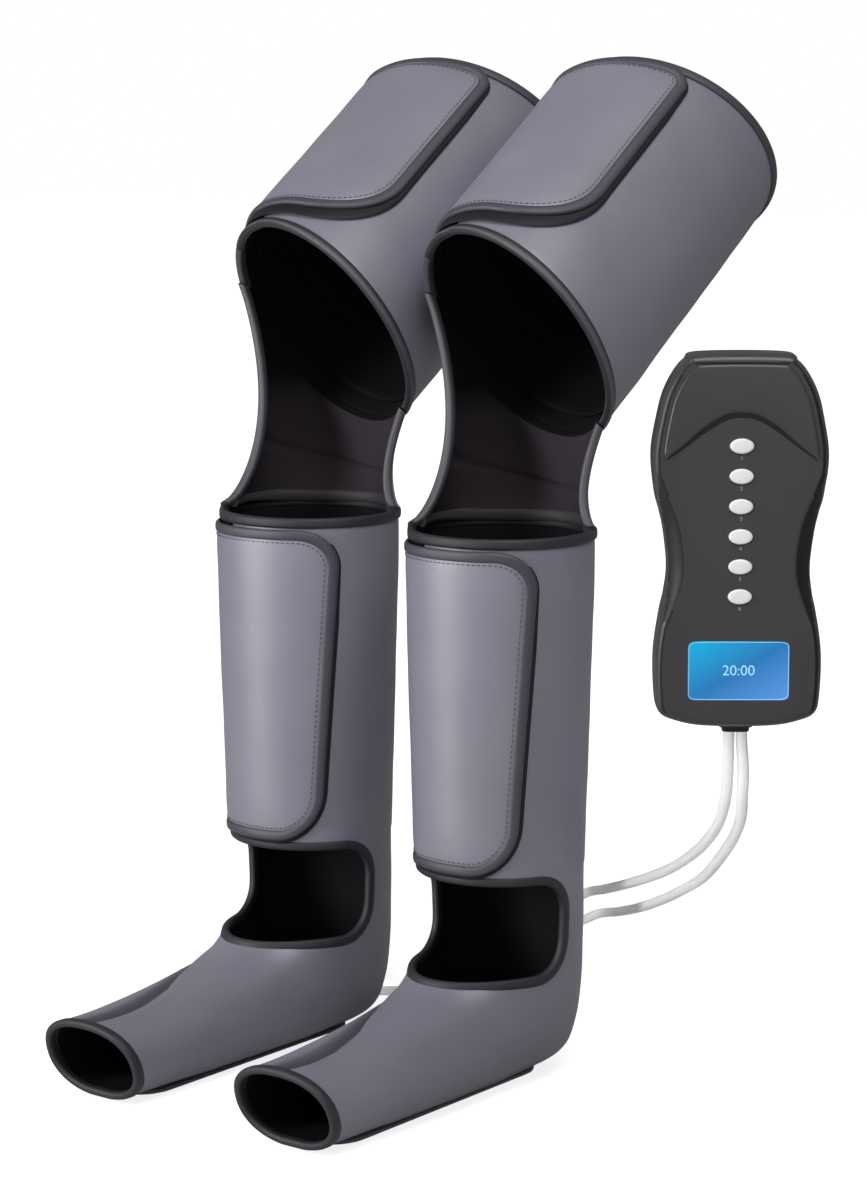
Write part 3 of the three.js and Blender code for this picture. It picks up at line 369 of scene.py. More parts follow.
def puffed(mesh, pinned, pressure, caps):
    """The mesh after a short run as cloth with air in it. Its pinned points stay, and no point moves further than its
    cap in millimetres."""
    blown = mesh.copy()
    blown.transform(Matrix.Scale(MM, 4))
    thing = in_scene("blowing", blown)
    thing.vertex_groups.new(name="sewn").add(pinned, 1.0, "REPLACE")
    settings = thing.modifiers.new("cloth", "CLOTH").settings
    settings.quality = 6
    settings.mass = 0.2
    settings.tension_stiffness = settings.compression_stiffness = 12
    settings.shear_stiffness = 4
    settings.bending_stiffness = 0.4
    settings.use_pressure = True
    settings.uniform_pressure_force = pressure
    settings.vertex_group_mass = "sewn"
    settings.effector_weights.gravity = 0
    for number in range(1, CLOTH_FRAMES + 1):
        bpy.context.scene.frame_set(number)
    swollen = places_of(thing.evaluated_get(bpy.context.evaluated_depsgraph_get()).data)
    bpy.data.objects.remove(thing)
    bpy.context.scene.frame_set(1)
    move = swollen / MM - places_of(mesh)
    reach = np.maximum(np.linalg.norm(move, axis=1), 1e-6)
    move *= np.minimum(1, caps * np.tanh(reach / np.maximum(caps, 1e-6)) / reach)[:, None]
    return placed(mesh, lambda places: places + move)


def unit(vectors):
    return vectors / np.maximum(np.linalg.norm(vectors, axis=-1, keepdims=True), 1e-9)


def superellipse(count, power):
    turn = 2 * math.pi * np.arange(count) / count
    c, s = np.cos(turn), np.sin(turn)
    return np.sign(c) * np.abs(c) ** (2 / power), np.sign(s) * np.abs(s) ** (2 / power)


def next_ring(bm, verts, points):
    """Extrudes a ring of vertices, and moves the new ring to its points."""
    edges = [bm.edges.get(pair) for pair in zip(verts, verts[1:] + verts[:1])]
    geometry = bmesh.ops.extrude_edge_only(bm, edges=edges)["geom"]
    made = {item for item in geometry if isinstance(item, bmesh.types.BMVert)}
    ring = [next(edge.other_vert(vert) for edge in vert.link_edges if edge.other_vert(vert) in made) for vert in verts]
    for vert, point in zip(ring, points):
        vert.co = point
    return ring


def skin(bm, rings, closed=False):
    """Extrudes a circle through rings of as many points each. Returns where each vertex is: its ring and its place."""
    first = bmesh.ops.create_circle(bm, segments=len(rings[0]), radius=1.0)["verts"]
    for vert, point in zip(first, rings[0]):
        vert.co = point
    made = [first]
    for points in rings[1:]:
        made.append(next_ring(bm, made[-1], points))
    if closed:
        last = next_ring(bm, made[-1], rings[0])
        bmesh.ops.weld_verts(bm, targetmap=dict(zip(last, first)))
    return {vert: (k, i) for k, ring in enumerate(made) for i, vert in enumerate(ring)}


def solid(bm, name):
    """The mesh of a bmesh, its open ends filled with flat faces and its faces turned outwards."""
    bmesh.ops.holes_fill(bm, edges=[edge for edge in bm.edges if edge.is_boundary], sides=0)
    bmesh.ops.recalc_face_normals(bm, faces=bm.faces)
    mesh = bpy.data.meshes.new(name)
    bm.to_mesh(mesh)
    bm.free()
    return mesh


def stacked(name, rings):
    """A solid through rings of as many points each, its ends flat."""
    bm = bmesh.new()
    skin(bm, rings)
    return solid(bm, name)


def walled(name, us, vs, place, wrapped=False, subdivisions=1, air=None):
    """A closed padded wall through a grid. place(u, v, depth) gives its outer face at depth 0, its inner at 1.
    Material 0 is its outer face, 1 its inner face; its UVs are in metres. air is a pressure, and how far the outer
    and the inner face may swell."""
    u, v = np.meshgrid(np.asarray(us, float), np.asarray(vs, float))
    outer, inner = place(u, v, 0), place(u, v, 1)
    rows, columns = u.shape
    size = rows * columns
    bm = bmesh.new()
    number, layer = bm.verts.layers.int.new("number"), bm.loops.layers.uv.new("UVMap")
    if wrapped:
        for vert, (j, i) in skin(bm, outer).items():
            vert[number] = j * columns + i
    else:
        bmesh.ops.create_grid(bm, x_segments=columns - 1, y_segments=rows - 1, size=1.0)
        for index, vert in enumerate(bm.verts):
            vert[number] = index
    for item in bmesh.ops.extrude_face_region(bm, geom=bm.faces[:], use_keep_orig=True)["geom"]:
        if isinstance(item, bmesh.types.BMVert):
            item[number] += size
        elif isinstance(item, bmesh.types.BMFace):
            item.material_index = 1
    middle_row = outer[rows // 2]
    across = arc_lengths(middle_row)
    across = np.append(across, across[-1] + np.linalg.norm(middle_row[0] - middle_row[-1])) * MM
    up = arc_lengths(outer[:, columns // 2]) * MM
    for face in bm.faces:
        spots = [divmod(loop.vert[number] % size, columns) for loop in face.loops]
        at_seam = wrapped and {i for _, i in spots} == {0, columns - 1}
        for loop, (j, i) in zip(face.loops, spots):
            loop[layer].uv = (across[-1 if at_seam and i == 0 else i], up[j])
    for vert in bm.verts:
        vert.index = vert[number]
    bm.verts.sort()
    for vert, point in zip(bm.verts, np.concatenate([outer.reshape(-1, 3), inner.reshape(-1, 3)])):
        vert.co = point
    bm.verts.layers.int.remove(number)
    mesh = solid(bm, name)
    if air:
        j, i = np.divmod(np.arange(size), columns)
        rim = np.flatnonzero((i < 1) | (i > columns - 2) | (j < 1) | (j > rows - 2))
        caps = np.concatenate([np.full(size, air[1]), np.full(size, air[2])])
        mesh = puffed(mesh, [int(k) for k in (*rim, *(rim + size))], air[0], caps)
    if subdivisions:
        mesh = evaluated(mesh, ("SUBSURF", {"levels": subdivisions, "render_levels": subdivisions}))
    smooth(mesh)
    return mesh


def joined(name, meshes):
    bm = bmesh.new()
    for mesh in meshes:
        bm.from_mesh(mesh)
    made = bpy.data.meshes.new(name)
    bm.to_mesh(made)
    bm.free()
    return made


def repeated(vector, points):
    return np.broadcast_to(np.array(vector, float), points.shape)


def band(name, centres, normals, half_width, half_thickness, across=None, closed=False, power=3.2, count=14):
    """A rolled tape: a rounded section swept along centres. across runs over its face, square to its run. Its UVs
    are in metres along and around it."""
    centres = np.asarray(centres, float)
    if across is None:
        run = np.roll(centres, -1, axis=0) - np.roll(centres, 1, axis=0) if closed else np.gradient(centres, axis=0)
        across = unit(np.cross(normals, unit(run)))
    half_width = np.broadcast_to(half_width, len(centres))
    half_thickness = np.broadcast_to(half_thickness, len(centres))
    c, s = superellipse(count, power)
    rings = (centres[:, None] + across[:, None] * (c[None, :, None] * half_width[:, None, None])
             + normals[:, None] * (s[None, :, None] * half_thickness[:, None, None]))
    along = arc_lengths(centres)
    along = np.append(along, along[-1] + np.linalg.norm(centres[0] - centres[-1])) * MM
    outline = np.stack([np.append(c, c[0]) * half_width.mean(), np.append(s, s[0]) * half_thickness.mean()], axis=1)
    around = arc_lengths(outline) * MM
    bm = bmesh.new()
    places = skin(bm, rings, closed)
    layer = bm.loops.layers.uv.new("UVMap")
    for face in bm.faces:
        spots = [places[loop.vert] for loop in face.loops]
        last_round = {k for k, _ in spots} == {0, len(centres) - 1}
        last_side = {i for _, i in spots} == {0, count - 1}
        for loop, (k, i) in zip(face.loops, spots):
            loop[layer].uv = (along[-1 if last_round and k == 0 else k], around[-1 if last_side and i == 0 else i])
    mesh = solid(bm, name)
    smooth(mesh, 60)
    return mesh


STITCH_SECTIONS = ((0.0, 0.25), (0.16, 0.9), (0.5, 1.0), (0.84, 0.9), (1.0, 0.25))
STITCH_SIDES = 6


def stitches(name, path, normals, length=2.6, gap=1.5, radius=0.35):
    """A run of short thread lengths along a path, each a flattened capsule."""
    path, normals = np.asarray(path, float), np.asarray(normals, float)
    along = arc_lengths(path)
    count = int((along[-1] - 2 * gap) // (length + gap))
    starts = gap + np.arange(count) * (along[-1] - 2 * gap) / max(count, 1)

    def at(s, values):
        return np.stack([np.interp(s, along, values[:, k]) for k in range(3)], axis=-1)

    a, b = at(starts, path), at(starts + length, path)
    up = unit(at(starts + length / 2, normals))
    side = unit(np.cross(unit(b - a), up))
    turn = 2 * math.pi * np.arange(STITCH_SIDES)[:, None] / STITCH_SIDES
    bm = bmesh.new()
    for k in range(count):
        section = radius * (side[k] * np.cos(turn) + up[k] * np.sin(turn))
        skin(bm, [a[k] + (b[k] - a[k]) * share + section * size for share, size in STITCH_SECTIONS])
    bm.loops.layers.uv.new("UVMap")
    mesh = solid(bm, name)
    smooth(mesh)
    return mesh


# Hoses. The route's points are those of the source.

GAP = 0.3
HOSE_DIAMETER = 7.5
HOSE_PITCH = 8.2
HOSE_FLOOR = HOSE_DIAMETER / 2 + GAP
HANDSET_TURN = math.radians(38)
HANDSET_PLACE = np.array([430.5, -196.5, 464.5])
HANDSET_HEIGHT = 241.0
GLAND_PROUD = 1.5
COIL_RADIUS = 45.0
COIL_PITCH = 8.2
COIL_STEPS_PER_TURN = 24
TAIL_BEND = 42.0
NOZZLE_BACK = 76.3
NOZZLE_TIP = 60.0
SIDEWAYS = np.array([math.cos(HANDSET_TURN), math.sin(HANDSET_TURN), 0.0])
BEHIND = np.array([-math.sin(HANDSET_TURN), math.cos(HANDSET_TURN), 0.0])
UP = np.array([0, 0, 1.0])
COILS = {
    "left": {"side": -10, "behind": 140, "start": 120, "sweep": 840, "descends": True},
    "right": {"side": -15, "behind": 130, "start": -90, "sweep": -618, "descends": False},
}
ROUTES = {
    "left": [
        [427, -199, 314], [424, -196, 296], [413, -186, 276], [387, -161, 254], [347, -122, 229], [297, -73, 203],
        [240, -15, 177], [175, 48, 149], [124, 97, 128], [77, 135, 109], [43, 150, 86], [11, 152, 61], [-17, 145, 38],
    ],
    "right": [
        [435, -193, 314], [434, -192, 298], [429, -185, 282], [415, -170, 264], [386, -142, 239], [344, -99, 210],
        [294, -50, 183], [237, 8, 155], [180, 64, 129], [124, 116, 106], [80, 151, 90], [52, 167, 76], [20, 174, 58],
        [-10, 172, 38], [-38, 161, 20], [-64, 141, 8], [-88, 118, 4.2], [-118, 92, 4.2],
    ],
}


def centripetal_spans(points):
    """Bezier spans of the centripetal curve through points: each is start, two handles and end."""
    points = [np.asarray(p, float) for p in points]
    ends = [2 * points[0] - points[1], *points, 2 * points[-1] - points[-2]]
    spans = []
    for p0, p1, p2, p3 in zip(ends, ends[1:], ends[2:], ends[3:]):
        d0, d1, d2 = (max(np.linalg.norm(b - a) ** 0.5, 1e-4) for a, b in ((p0, p1), (p1, p2), (p2, p3)))
        leave = ((p1 - p0) / d0 - (p2 - p0) / (d0 + d1) + (p2 - p1) / d1) * d1
        arrive = ((p2 - p1) / d1 - (p3 - p1) / (d1 + d2) + (p3 - p2) / d2) * d1
        spans.append([p1, p1 + leave / 3, p2 - arrive / 3, p2])
    return spans


class Coil:
    def __init__(self, boot_x, sizes):
        self.middle = np.array([boot_x, 0, HOSE_FLOOR]) + sizes["side"] * SIDEWAYS + sizes["behind"] * BEHIND
        self.start, self.sweep, self.descends = sizes["start"], sizes["sweep"], sizes["descends"]
        self.rise = abs(self.sweep) / 360 * COIL_PITCH

    def spot(self, t):
        turn = math.radians(self.start + t * self.sweep)
        level = self.rise * (1 - t if self.descends else t)
        round_middle = math.cos(turn) * SIDEWAYS + math.sin(turn) * BEHIND
        return self.middle + COIL_RADIUS * round_middle + level * UP

    def heading(self, t):
        turn = math.radians(self.start + t * self.sweep)
        return math.copysign(1, self.sweep) * (-math.sin(turn) * SIDEWAYS + math.cos(turn) * BEHIND)

    def spans(self):
        count = math.ceil(abs(self.sweep) / 360 * COIL_STEPS_PER_TURN)
        arc = abs(math.radians(self.sweep)) * COIL_RADIUS / count
        climb = np.array([0, 0, (-1 if self.descends else 1) * self.rise / count])
        made = []
        for k in range(count):
            a, b = k / count, (k + 1) / count
            made.append([self.spot(a), self.spot(a) + (self.heading(a) * arc + climb) / 3,
                         self.spot(b) - (self.heading(b) * arc + climb) / 3, self.spot(b)])
        return made


def straight(a, b):
    return [a, a + (b - a) / 3, b - (b - a) / 3, b]


def hose_spans(side):
    """The whole hose as Bezier spans, from the handset through its coil to the boot's inlet."""
    boot_x = SIDES[side]
    coil = Coil(boot_x, COILS[side])
    exit_side = -1 if side == "left" else 1
    start = HANDSET_PLACE + np.array([0, 0, -HANDSET_HEIGHT / 2 - GLAND_PROUD - GAP])
    start = start + SIDEWAYS * exit_side * HOSE_PITCH / 2
    entry, heading = coil.spot(0), coil.heading(0)
    free = centripetal_spans([
        start, start - HOSE_DIAMETER * UP, *ROUTES[side], entry - heading * HOSE_DIAMETER, entry,
    ])
    leave, way = coil.spot(1), coil.heading(1)
    end = np.array([boot_x, NOZZLE_BACK, NOZZLE_TIP - GAP])
    bend_start, bend_end = leave + way * HOSE_DIAMETER, end - UP * HOSE_DIAMETER
    tail = [straight(leave, bend_start),
            [bend_start, bend_start + way * TAIL_BEND, bend_end - UP * TAIL_BEND / 2, bend_end],
            straight(bend_end, end)]
    return free + coil.spans() + tail


def sampled(spans, parts=12):
    t = np.linspace(0, 1, parts, endpoint=False)[:, None]
    lines = [(1 - t) ** 3 * a + 3 * t * (1 - t) ** 2 * b + 3 * t * t * (1 - t) * c + t ** 3 * d
             for a, b, c, d in spans]
    return np.concatenate([*lines, [spans[-1][3]]])


def add_hose(side):
    spans = hose_spans(side)
    curve = bpy.data.curves.new(f"{side}_air_hose", "CURVE")
    curve.dimensions = "3D"
    curve.resolution_u = 6
    curve.bevel_depth = HOSE_DIAMETER / 2 * MM
    curve.bevel_resolution = 4
    curve.use_fill_caps = True
    line = curve.splines.new("BEZIER")
    line.bezier_points.add(len(spans))
    for index, point in enumerate(line.bezier_points):
        point.handle_left_type = point.handle_right_type = "FREE"
        here = spans[index][0] if index < len(spans) else spans[-1][3]
        left = spans[index - 1][2] if index else 2 * here - spans[0][1]
        right = spans[index][1] if index < len(spans) else 2 * here - spans[-1][2]
        point.co, point.handle_left, point.handle_right = (Vector(row(p)) for p in (here, left, right))
    curve.materials.append(hose_vinyl)
    thing = in_scene(f"{side}_air_hose", curve)
    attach(thing, ROOT_BODY)
    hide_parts(f"{side}_hose", f"{side}_hose_coil", f"{side}_hose_tail")
    length = arc_lengths(sampled(spans))[-1] * MM
    row(spans[0][0])


for side in SIDES:
    add_hose(side)


# Cuffs: the calf's and the thigh's own frames


class Cuff:
    """Angle 0 is a cuff's front and 90 degrees is +X. along runs up its axis, out from its outer face."""

    def __init__(self, foot, lean, low_at, top_at, radius_at, deeper=0.0):
        self.foot = np.array(foot, float)
        self.deeper = deeper
        lean = math.radians(lean)
        self.axis = np.array([0, math.sin(lean), math.cos(lean)])
        self.front = np.array([0, -math.cos(lean), math.sin(lean)])
        self.low_at, self.top_at, self.radius_at = low_at, top_at, radius_at

    def spot(self, angle, along, out):
        angle, along, out = np.broadcast_arrays(np.radians(angle), along, out)
        radius = self.radius_at(along) + out
        forward = (radius + self.deeper) * np.cos(angle)
        spots = self.foot + along[..., None] * self.axis + forward[..., None] * self.front
        spots[..., 0] += radius * np.sin(angle)
        return spots

    def normal(self, angle):
        angle = np.radians(np.asarray(angle, float))
        radius = float(self.radius_at(0.0))
        flat = radius / (radius + self.deeper)
        return unit((flat * np.cos(angle))[..., None] * self.front + np.sin(angle)[..., None] * np.array([1.0, 0, 0]))

    def centre(self, along):
        return self.foot + np.asarray(along, float)[..., None] * self.axis

    def along(self, angle, share):
        low, top = self.low_at(np.asarray(angle, float)), self.top_at(np.asarray(angle, float))
        return low + (top - low) * share


def sine(angle):
    return np.sin(np.radians(angle))


CALF_LOW, CALF_TOP = 168.0, 423.0
CALF_LOW_RADIUS, CALF_TOP_RADIUS = 64.0, 71.0
CALF_ROOT, CALF_EDGE = -60.0, -20.0
THIGH_FOOT, THIGH_LEAN = (0, 45, 584.7), 54.6
THIGH_LOW, THIGH_TOP = -35.0, 203.0
THIGH_RADIUS, THIGH_DEEPER = 89.0, 8.0
THIGH_ROOT, THIGH_EDGE = -50.0, -18.0
SHELL_WALL = 4.0
BINDING_WIDTH = 8.0
BINDING_PROUD = 1.2
FLAP_THICKNESS = 3.5
PIPING_PROUD = 0.6
FLAP_LAP = 5.9
LAYER_GAP = 0.7
CELL = 7.0
# How far a shell and a flap reach in under their tapes
TUCK = 5.5
# The first angles of the knee panel on the calf and on the thigh, and its last angle on the thigh, which is drawn
# round to meet the corner tape
PANEL_CALF_ANGLE, PANEL_THIGH_ANGLE, PANEL_END_ANGLE = 118.0, 138.0, 284.0

calf = Cuff((0, 0, 0), 0, lambda a: CALF_LOW + 0 * a, lambda a: CALF_TOP + 0 * a,
            lambda z: CALF_LOW_RADIUS + (CALF_TOP_RADIUS - CALF_LOW_RADIUS) * (z - CALF_LOW) / (CALF_TOP - CALF_LOW))
thigh = Cuff(THIGH_FOOT, THIGH_LEAN, lambda a: THIGH_LOW - 18 * sine(a - 10),
             lambda a: THIGH_TOP + 22 * sine(a - 45), lambda s: THIGH_RADIUS + 0 * s, THIGH_DEEPER)


def ripple(points, period, seed):
    """A soft, smooth unevenness from -1 to 1, the same on each run."""
    random = np.random.default_rng(seed)
    total = np.zeros(points.shape[:-1])
    for _ in range(6):
        way = unit(random.normal(size=3))
        total += np.sin(points @ way * (2 * math.pi / (period * random.uniform(0.7, 1.5))) + random.uniform(0, 6.3))
    return total / 4


def pillow(share, power=4.0):
    """1 in the middle of 0..1 and 0 at its ends, with a flat top."""
    return 1 - np.abs(2 * np.clip(share, 0, 1) - 1) ** power


def steps(start, end, cell):
    return np.linspace(start, end, max(2, int(math.ceil(abs(end - start) / cell)) + 1))


def cuff_wall(name, cuff, start, end, outer, inner, low_trim, top_trim, puff, seed, cell=CELL):
    """A layer of a cuff: its outer face swells by up to puff between its ends."""
    radius = float(cuff.radius_at(300.0 if cuff is calf else 0.0))
    angles = steps(start, end, math.degrees(cell / radius))
    shares = steps(0, 1, cell / 255)

    def place(angle, share, depth):
        low = cuff.along(angle, 0) + low_trim
        top = cuff.along(angle, 1) - top_trim
        along = low + (top - low) * share
        crown = pillow(np.maximum(share, 0.5) if low_trim < 0 else share, 8)
        swell = puff * (crown - 1) + 0.35 * ripple(cuff.spot(angle, along, 0), 55, seed) * pillow(share, 6)
        if low_trim < 0:
            swell = swell - 0.3 * np.clip((low - along) / 3 - 0.4, 0, 1)
        out = inner + 0 * angle if depth else outer + np.minimum(swell, puff)
        return cuff.spot(angle, along, out)

    return walled(name, angles, shares, place)


BAND_HALF_THICKNESS = SHELL_WALL / 2 + BINDING_PROUD


def rim_tape(name, cuff, angles, top, half_width, half_thickness, power, middle_width=None):
    """A tape swept along one end of a cuff's shell, its middle at a half width from the very rim."""
    inwards = (-1 if top else 1) * (half_width if middle_width is None else middle_width)
    centres = cuff.spot(angles, cuff.along(angles, 1 if top else 0) + inwards, -SHELL_WALL / 2)
    return band(name, centres, cuff.normal(angles), half_width, half_thickness, power=power)


def end_band(name, cuff, start, end, top, half_thickness=BAND_HALF_THICKNESS):
    """The folded tape over one end of a cuff's shell."""
    return rim_tape(name, cuff, steps(start, end, 2.5), top, BINDING_WIDTH / 2, half_thickness, 3.6)


def rolled_edge(name, cuff, start, end, half_width=2.7):
    """A narrow bright roll along the low rim of a cuff's folded tape. It thins out towards its start."""
    angles = steps(start, end, 2.5)
    width = half_width * np.clip(0.55 + (angles - start) / 90, 0.55, 1)
    return rim_tape(name, cuff, angles, False, width, BAND_HALF_THICKNESS + 0.25, 2.4, half_width)


def add_shell(part, cuff, start, end, low_trim, top_trim, body):
    wall = cuff_wall(f"{part}_shell", cuff, start, end, 0.35, -SHELL_WALL, low_trim, top_trim, 1.1, len(part))
    on_both(f"{part}_shell_cloth", wall, body, [f"{part}_shell"], (outer_cloth, lining_cloth))


def cells(share, count):
    """Welded cells of an air chamber: 0 at each weld and 1 in between."""
    return np.abs(np.sin(np.pi * np.clip(share, 0, 1) * count)) ** 0.45


def add_chamber(part, cuff, start, end, count, body):
    margin, outer, thickness = 22.0, -SHELL_WALL - LAYER_GAP, 5.0
    radius = float(cuff.radius_at(300.0 if cuff is calf else 0.0))
    angles = steps(start + 1, end - 1, math.degrees(8 / radius))
    shares = steps(0, 1, 5 / 210)

    def place(angle, share, depth):
        low, top = cuff.along(angle, 0) + margin, cuff.along(angle, 1) - margin
        side = np.clip((angle - start) / (end - start), 0, 1)
        swell = cells(share, count) * pillow(side, 30)
        out = outer - thickness * (0.6 + 0.38 * swell) if depth else outer + 0 * angle
        return cuff.spot(angle, low + (top - low) * share, out)

    wall = walled(f"{part}_chamber", angles, shares, place)
    on_both(f"{part}_air_cells", wall, body, [f"{part}_air_chamber"], (air_film, air_film))


calf_span = (CALF_EDGE, CALF_ROOT + 360 - math.degrees(GAP / CALF_LOW_RADIUS))
thigh_span = (THIGH_EDGE, THIGH_ROOT + 360 - math.degrees(GAP / THIGH_RADIUS))
add_shell("calf", calf, *calf_span, -4.5, TUCK, None)
add_shell("thigh", thigh, *thigh_span, TUCK, TUCK, "thigh_cuff")
add_chamber("calf", calf, *calf_span, 4, None)
add_chamber("thigh", thigh, *thigh_span, 3, "thigh_cuff")
on_both("calf_top_tape", end_band("calf_top", calf, *calf_span, True), None,
        ["calf_top_binding"], (dark_tape,))
on_both("thigh_top_tape", end_band("thigh_top", thigh, *thigh_span, True), "thigh_cuff",
        ["thigh_top_binding"], (binding_tape,))
on_both("thigh_lower_tape", end_band("thigh_lower", thigh, thigh_span[0], PANEL_THIGH_ANGLE, False, 2.9),
        "thigh_cuff", ["thigh_lower_binding"], (dark_tape,))
on_both("thigh_lower_roll", rolled_edge("thigh_roll", thigh, thigh_span[0], PANEL_THIGH_ANGLE + 3),
        "thigh_cuff", [], (grey_tape,))
on_both("thigh_seam_tape", end_band("thigh_seam", thigh, PANEL_THIGH_ANGLE, 283, False, 2.2), "thigh_cuff",
        ["thigh_lower_binding"], (lining_cloth,))
on_both("thigh_corner_tape", end_band("thigh_corner", thigh, 280, thigh_span[1] - 0.3, False, 3.2), "thigh_cuff",
        [], (grey_tape,))


# Flaps

CALF_FLAP_ANGLES = (46.0, 59.0)
THIGH_FLAP_ANGLE = 43.0
# The pressure in a flap, and how far its outer and its inner face may swell
FLAP_AIR = (9.0, 2.2, 0.7)


class Flap:
    """A flap sewn to its shell at its root. Across runs from the root and up from its low edge, both in its own
    cloth."""

    def __init__(self, cuff, root, edge, low_angle, top_angle, low, top, low_corner, top_corner, top_shift):
        self.cuff, self.root, self.edge = cuff, root, edge
        self.low_angle, self.top_angle, self.low = low_angle, top_angle, low
        self.low_corner, self.top_corner, self.top_shift = low_corner, top_corner, top_shift
        self.reach = math.radians((low_angle + top_angle) / 2 - root) * float(cuff.radius_at((low + top) / 2))
        self.height = top - low

    def rise(self, angle):
        share = np.clip((angle - self.root) / (self.edge - 5 - self.root), 0, 1)
        return FLAP_LAP * share * share * (3 - 2 * share)

    def angle(self, across, up):
        free = self.low_angle + (self.top_angle - self.low_angle) * up / self.height
        return self.root + (free - self.root) * across / self.reach

    def spot(self, across, up, out):
        """out is measured from the flap's outer face."""
        angle = self.angle(across, up)
        along = self.low + up + up / self.height * self.top_shift(angle)
        return self.cuff.spot(angle, along, self.rise(angle) + out)

    def rim(self, inset, turns=24, run=40, side=40):
        """The low, free and top edges drawn in by inset, as points across and up."""
        def line(a, b, parts):
            return np.linspace(a, b, parts + 1)[1:-1]

        reach, top = self.reach - inset, self.height - inset
        turn = np.linspace(0, math.pi / 2, turns + 1)
        low_r, top_r = self.low_corner - inset, self.top_corner - inset
        low = np.stack([reach - low_r + low_r * np.sin(turn), inset + low_r - low_r * np.cos(turn)], 1)
        high = np.stack([reach - top_r + top_r * np.sin(turn), top - top_r + top_r * np.cos(turn)], 1)[::-1]
        first, last = np.array([0, inset]), np.array([0, top])
        return np.concatenate([[first], line(first, low[0], run), low, line(low[-1], high[0], side), high,
                               line(high[-1], last, run), [last]])

    def edge_up(self, across, inset, top):
        """How high the low or the top edge lies at a distance across."""
        corner = (self.top_corner if top else self.low_corner) - inset
        past = np.clip(across - (self.reach - inset - corner), 0, corner)
        dip = corner - np.sqrt(np.maximum(corner * corner - past * past, 0))
        return self.height - inset - dip if top else inset + dip


thigh_flap_low = float(thigh.along(THIGH_ROOT, 0)) + BINDING_WIDTH + 2 * GAP
calf_flap = Flap(calf, CALF_ROOT, CALF_EDGE, *CALF_FLAP_ANGLES, CALF_LOW + GAP,
                 CALF_TOP - BINDING_WIDTH - 2 * GAP, 38, 30, lambda a: 0 * a)
thigh_flap = Flap(thigh, THIGH_ROOT, THIGH_EDGE, THIGH_FLAP_ANGLE, THIGH_FLAP_ANGLE, thigh_flap_low,
                  THIGH_TOP - BINDING_WIDTH - 2 * GAP, 58, 18, lambda a: thigh.top_at(a) - THIGH_TOP)


def flap_cloth(name, flap, seed):
    inset = TUCK
    reach = flap.reach - inset
    bend = min(flap.reach - flap.low_corner, flap.reach - flap.top_corner)
    turned = [reach - corner + corner * math.sin(t) for corner in (flap.low_corner - inset, flap.top_corner - inset)
              for t in np.linspace(0, math.pi / 2, 9)]
    columns = sorted({round(x, 2) for x in [*steps(0, bend, CELL), *[t for t in turned if t > bend]]})
    kept = [columns[0]]
    for column in columns[1:]:
        if column - kept[-1] > 1.2:
            kept.append(column)
    kept[-1] = reach
    shares = steps(0, 1, CELL / flap.height)

    def place(across, share, depth):
        low, top = flap.edge_up(across, inset, False), flap.edge_up(across, inset, True)
        up = low + (top - low) * share
        if depth:
            return flap.spot(across, up, -FLAP_THICKNESS)
        edge = np.minimum(np.minimum((up - low), (top - up)), reach - across)
        dip = -0.9 * np.exp(-np.maximum(edge - 2.5, 0) / 5)
        wave = 0.4 * ripple(flap.spot(across, up, 0), 60, seed) * np.clip(edge / 25, 0, 1)
        return flap.spot(across, up, 0.5 + dip + np.minimum(wave, 0.3))

    return walled(name, kept, shares, place, air=FLAP_AIR)


def flap_edge(name, flap, rim, bed, out, half_thickness, power, count):
    """A tape along a flap's edge, from its rim to its bed, both points across and up."""
    a, b = flap.spot(rim[:, 0], rim[:, 1], out), flap.spot(bed[:, 0], bed[:, 1], out)
    up = unit(flap.spot(rim[:, 0], rim[:, 1], out + 1) - a)
    half = np.linalg.norm(a - b, axis=1) / 2
    return band(name, (a + b) / 2, up, half, half_thickness, unit(a - b), power=power, count=count)


def flap_under(name, flap, low_proud, side_proud):
    """A black strip of painted shadow under a flap's edge, where the edge casts shade on the shell: a soft strip that
    stands out a little below and beside the piping.
    """
    last = 115
    rim, bed = flap.rim(-1)[:last], flap.rim(6)[:last]
    stop = np.arange(last)
    share = np.clip((stop - 44) / 22, 0, 1)
    proud = low_proud + (side_proud - low_proud) * share * share * (3 - 2 * share)
    proud = proud * np.clip(0.55 + stop / 40, 0, 1) * np.clip((last - 1 - stop) / 20, 0, 1)
    rim = rim + unit(rim - bed) * proud[:, None]
    return flap_edge(name, flap, rim, bed, -FLAP_THICKNESS - 0.1, 1.1, 2.4, 12)


def flap_piping(name, flap):
    middle, half_thickness = (PIPING_PROUD - FLAP_THICKNESS) / 2, (FLAP_THICKNESS + PIPING_PROUD) / 2 + 0.35
    return flap_edge(name, flap, flap.rim(0), flap.rim(BINDING_WIDTH), middle, half_thickness, 2.7, 16)


def flap_stitches(name, flap):
    """The seam just inside a flap's piping."""
    seam = flap.rim(BINDING_WIDTH + 1.8)
    path = flap.spot(seam[:, 0], seam[:, 1], 0.12)
    return stitches(name, path, unit(flap.spot(seam[:, 0], seam[:, 1], 1.12) - path))


def add_flap(part, flap, body, seed, low_proud):
    name = f"{part}_flap"
    on_both(f"{name}_cloth", flap_cloth(name, flap, seed), body, [name],
            (outer_cloth, lining_cloth))
    for kind, mesh, nodes, material in (
            ("piping", flap_piping(f"{name}_piping", flap), [f"{name}_binding"], binding_tape),
            ("stitches", flap_stitches(f"{name}_stitches", flap), [], thread),
            # The strip under the edge is painted shadow: a black strip on the shell where the flap's edge casts shade.
            ("under", flap_under(f"{name}_under", flap, low_proud, 2.6), [], shadow_strip_black)):
        on_both(f"{name}_{kind}", mesh, body, nodes, (material,))


add_flap("calf", calf_flap, "calf_flap", 5, 1.8)
add_flap("thigh", thigh_flap, "thigh_flap", 9, 9.0)

ROOT_STRIP_HALF = 6.0
HINGE_REACH, HINGE_TURN = 5.0, 2.2


